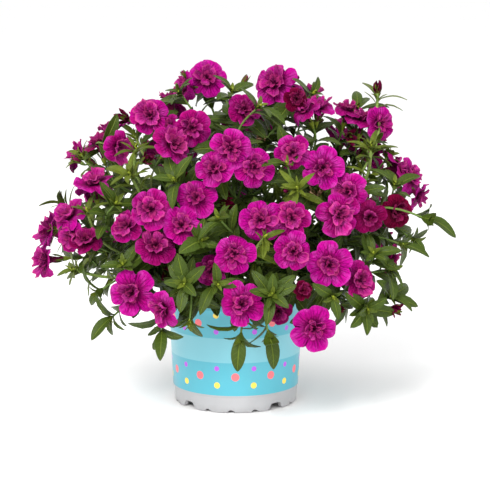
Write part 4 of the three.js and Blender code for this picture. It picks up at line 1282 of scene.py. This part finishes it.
def leaf_material():
    """Matt green blades with a sunk midrib, arched side veins, a fine nap and paler undersides, in darker
    green deeper inside the plant as painted shade.
    """
    p = Paint("leaves", 0.31, Specular_IOR_Level=0.12)
    across, along, young, painted_light, under = p.marks("across", "along", "tone", "kind", "under")
    middle = p.math("ABSOLUTE", across)
    # painted shade: the mature green darkens with the painted_light mark, from the outside of the plant
    # inwards
    old = p.mix(painted_light, (10, 24, 5), (36, 54, 10))
    p.base = p.mix(p.fade(young, 0.16, 0.9), old, (140, 148, 44))
    mottle = p.noise(260, 4)
    p.shade(p.fade(mottle, 0.45, 0.75), 1.3)
    p.shade(p.fade(mottle, 0.52, 0.3), 0.6)
    waves = p.math("SINE", p.times(p.plus(along, p.times(middle, -0.16)), 44.0))
    side_veins = p.times(p.fade(waves, 0.8, 1.0), p.fade(middle, 0.95, 0.5))
    veins = p.math("MAXIMUM", p.fade(middle, 0.14, 0.03), p.times(side_veins, 0.25))
    p.lay(p.times(veins, 0.45), (120, 138, 48))
    pale = p.mix(p.times(veins, 0.6), (60, 76, 24), (108, 124, 44))
    p.lay(p.times(under, 0.75), pale)
    return p.finish(p.plus(p.times(veins, -0.8), p.times(p.noise(900, 3), 0.7)), 0.0009, 0.8)


def stalk_material():
    """Hairy green stems that turn brown and woody towards the root."""
    p = Paint("stalks", 0.62, Specular_IOR_Level=0.25)
    (young,) = p.marks("tone")
    p.base = p.mix(p.fade(young, 0.1, 0.5), (96, 88, 52), (92, 120, 52))
    p.lay(p.fade(young, 0.5, 1.0), (136, 158, 78))
    p.lay(p.fade(p.noise(700, 3), 0.35, 0.7, 0, 0.4), (62, 74, 34))
    return p.finish(p.noise(2400, 2), 0.0006, 0.8)


def withered_material():
    """The papery brown of a spent flower."""
    p = Paint("withered", 0.7, Specular_IOR_Level=0.1)
    (along,) = p.marks("along")
    p.base = p.mix(p.fade(p.noise(600, 4), 0.35, 0.65), (132, 84, 62), (206, 168, 134))
    p.shade(p.fade(along, 0.7, 0.0), 0.6)
    return p.finish(p.noise(1500, 3), 0.001, 0.8)


def pot_material():
    """White moulded plastic, printed in satin turquoise with a paler band and rows of plain dots."""
    p = Paint("pot_plastic", 0.34, Specular_IOR_Level=0.45, Coat_Weight=0.12, Coat_Roughness=0.25)
    split = p.node("ShaderNodeSeparateXYZ", {"Vector": p.place})
    x, y, z = (split.outputs[axis] for axis in "XYZ")
    turn = p.math("ARCTAN2", x, p.times(y, -1.0))
    above = p.fade(z, PRINT.low * MM, (PRINT.low + SOFT.print) * MM)
    printed = p.times(above, p.fade(z, PRINT.high * MM, (PRINT.high - SOFT.print) * MM))
    p.base = p.mix(p.noise(26, 2), (74, 166, 186), (86, 176, 192))
    off = p.math("ABSOLUTE", p.math("SUBTRACT", z, PRINT.band_height * MM))
    band = p.fade(off, PRINT.band_width / 2 * MM, (PRINT.band_width / 2 - SOFT.band) * MM)
    p.lay(p.times(band, 0.6), (138, 196, 206))
    for height, radius, shift, colour in DOTS:
        column = p.math("FRACT", p.plus(p.times(turn, DOTS_ROUND / TURN), shift))
        aside = p.times(p.math("SUBTRACT", column, 0.5), PRINT.radius * TURN / DOTS_ROUND)
        up = p.times(p.math("SUBTRACT", z, height * MM), 1 / MM)
        reach = p.math("SQRT", p.plus(p.times(aside, aside), p.times(up, up)))
        p.lay(p.fade(reach, radius, radius - SOFT.dot), colour)
    white = p.mix(p.noise(55, 3), (164, 164, 166), (178, 178, 180))
    p.feed(p.shader.inputs["Roughness"], p.fade(p.noise(70, 4), 0.3, 0.7, 0.3, 0.42))
    p.base = p.mix(printed, white, p.base)
    return p.finish(p.noise(1500, 3), 0.00025, 0.35)


def soil_material():
    """Dark peat with lighter bark and grit."""
    p = Paint("peat", 0.92, Specular_IOR_Level=0.15)
    kind, tone = p.marks("kind", "tone")
    crumbs = p.cells(520)
    p.base = p.mix(p.noise(300, 5), (34, 25, 18), (72, 54, 38))
    p.lay(p.fade(crumbs, 0.0, 0.5, 0.5, 0), (92, 72, 52))
    bark = p.mix(tone, (70, 44, 28), (150, 120, 88))
    p.lay(p.times(kind, 0.8), bark)
    return p.finish(p.plus(p.noise(650, 5), p.times(crumbs, -0.8)), 0.0016)


def paper_material():
    """The studio's white paper sweep."""
    p = Paint("studio_paper", 0.9, Specular_IOR_Level=0.1)
    p.base = p.mix(p.noise(3, 2), (252, 252, 252), (254, 254, 254))
    return p.finish(p.noise(900, 2), 0.0002, 0.2)


# -------- studio, in metres

FLOOR = Sizes(size=300, drop=0.0005)
AIM = (0, 0, 0.13)
WORLD_STRENGTH = 1.02
# name, place, size, power in watts, colour
LAMPS = [
    ("key_lamp", (-0.55, -1.6, 1.5), 1.1, 56, (1, 0.99, 0.98)),
    ("fill_lamp", (1.2, -1.7, 0.7), 1.2, 10, (1, 1, 1)),
]


def add_studio():
    """A pale paper sweep, soft lamps and a white room."""
    bpy.ops.mesh.primitive_plane_add(size=FLOOR.size, location=(0, 0, -FLOOR.drop))
    floor = bpy.context.object
    floor.name = "studio_floor"
    floor.data.materials.append(paper_material())
    for name, place, size, power, tint in LAMPS:
        data = bpy.data.lights.new(name, "AREA")
        data.shape = "DISK"
        data.size = size
        data.energy = power
        data.color = tint
        add_to_scene(name, data, place, AIM)
    bpy.context.scene.view_settings.view_transform = "Standard"
    world = bpy.data.worlds.new("white_room")
    world.use_nodes = True
    background = world.node_tree.nodes["Background"].inputs
    background["Color"].default_value = (1, 1, 1, 1)
    background["Strength"].default_value = WORLD_STRENGTH
    bpy.context.scene.world = world


# -------- the scene

add_camera()
add_studio()
stems, blooms = read_plant()
materials = {
    "petals": petal_material(),
    "leaves": leaf_material(),
    "stalks": stalk_material(),
    "withered": withered_material(),
    "pot": pot_material(),
    "soil": soil_material(),
}
add_blooms(stems, materials)
add_stems(stems, blooms, materials)
add_pot(materials)
add_soil(materials)
bpy.context.view_layer.update()
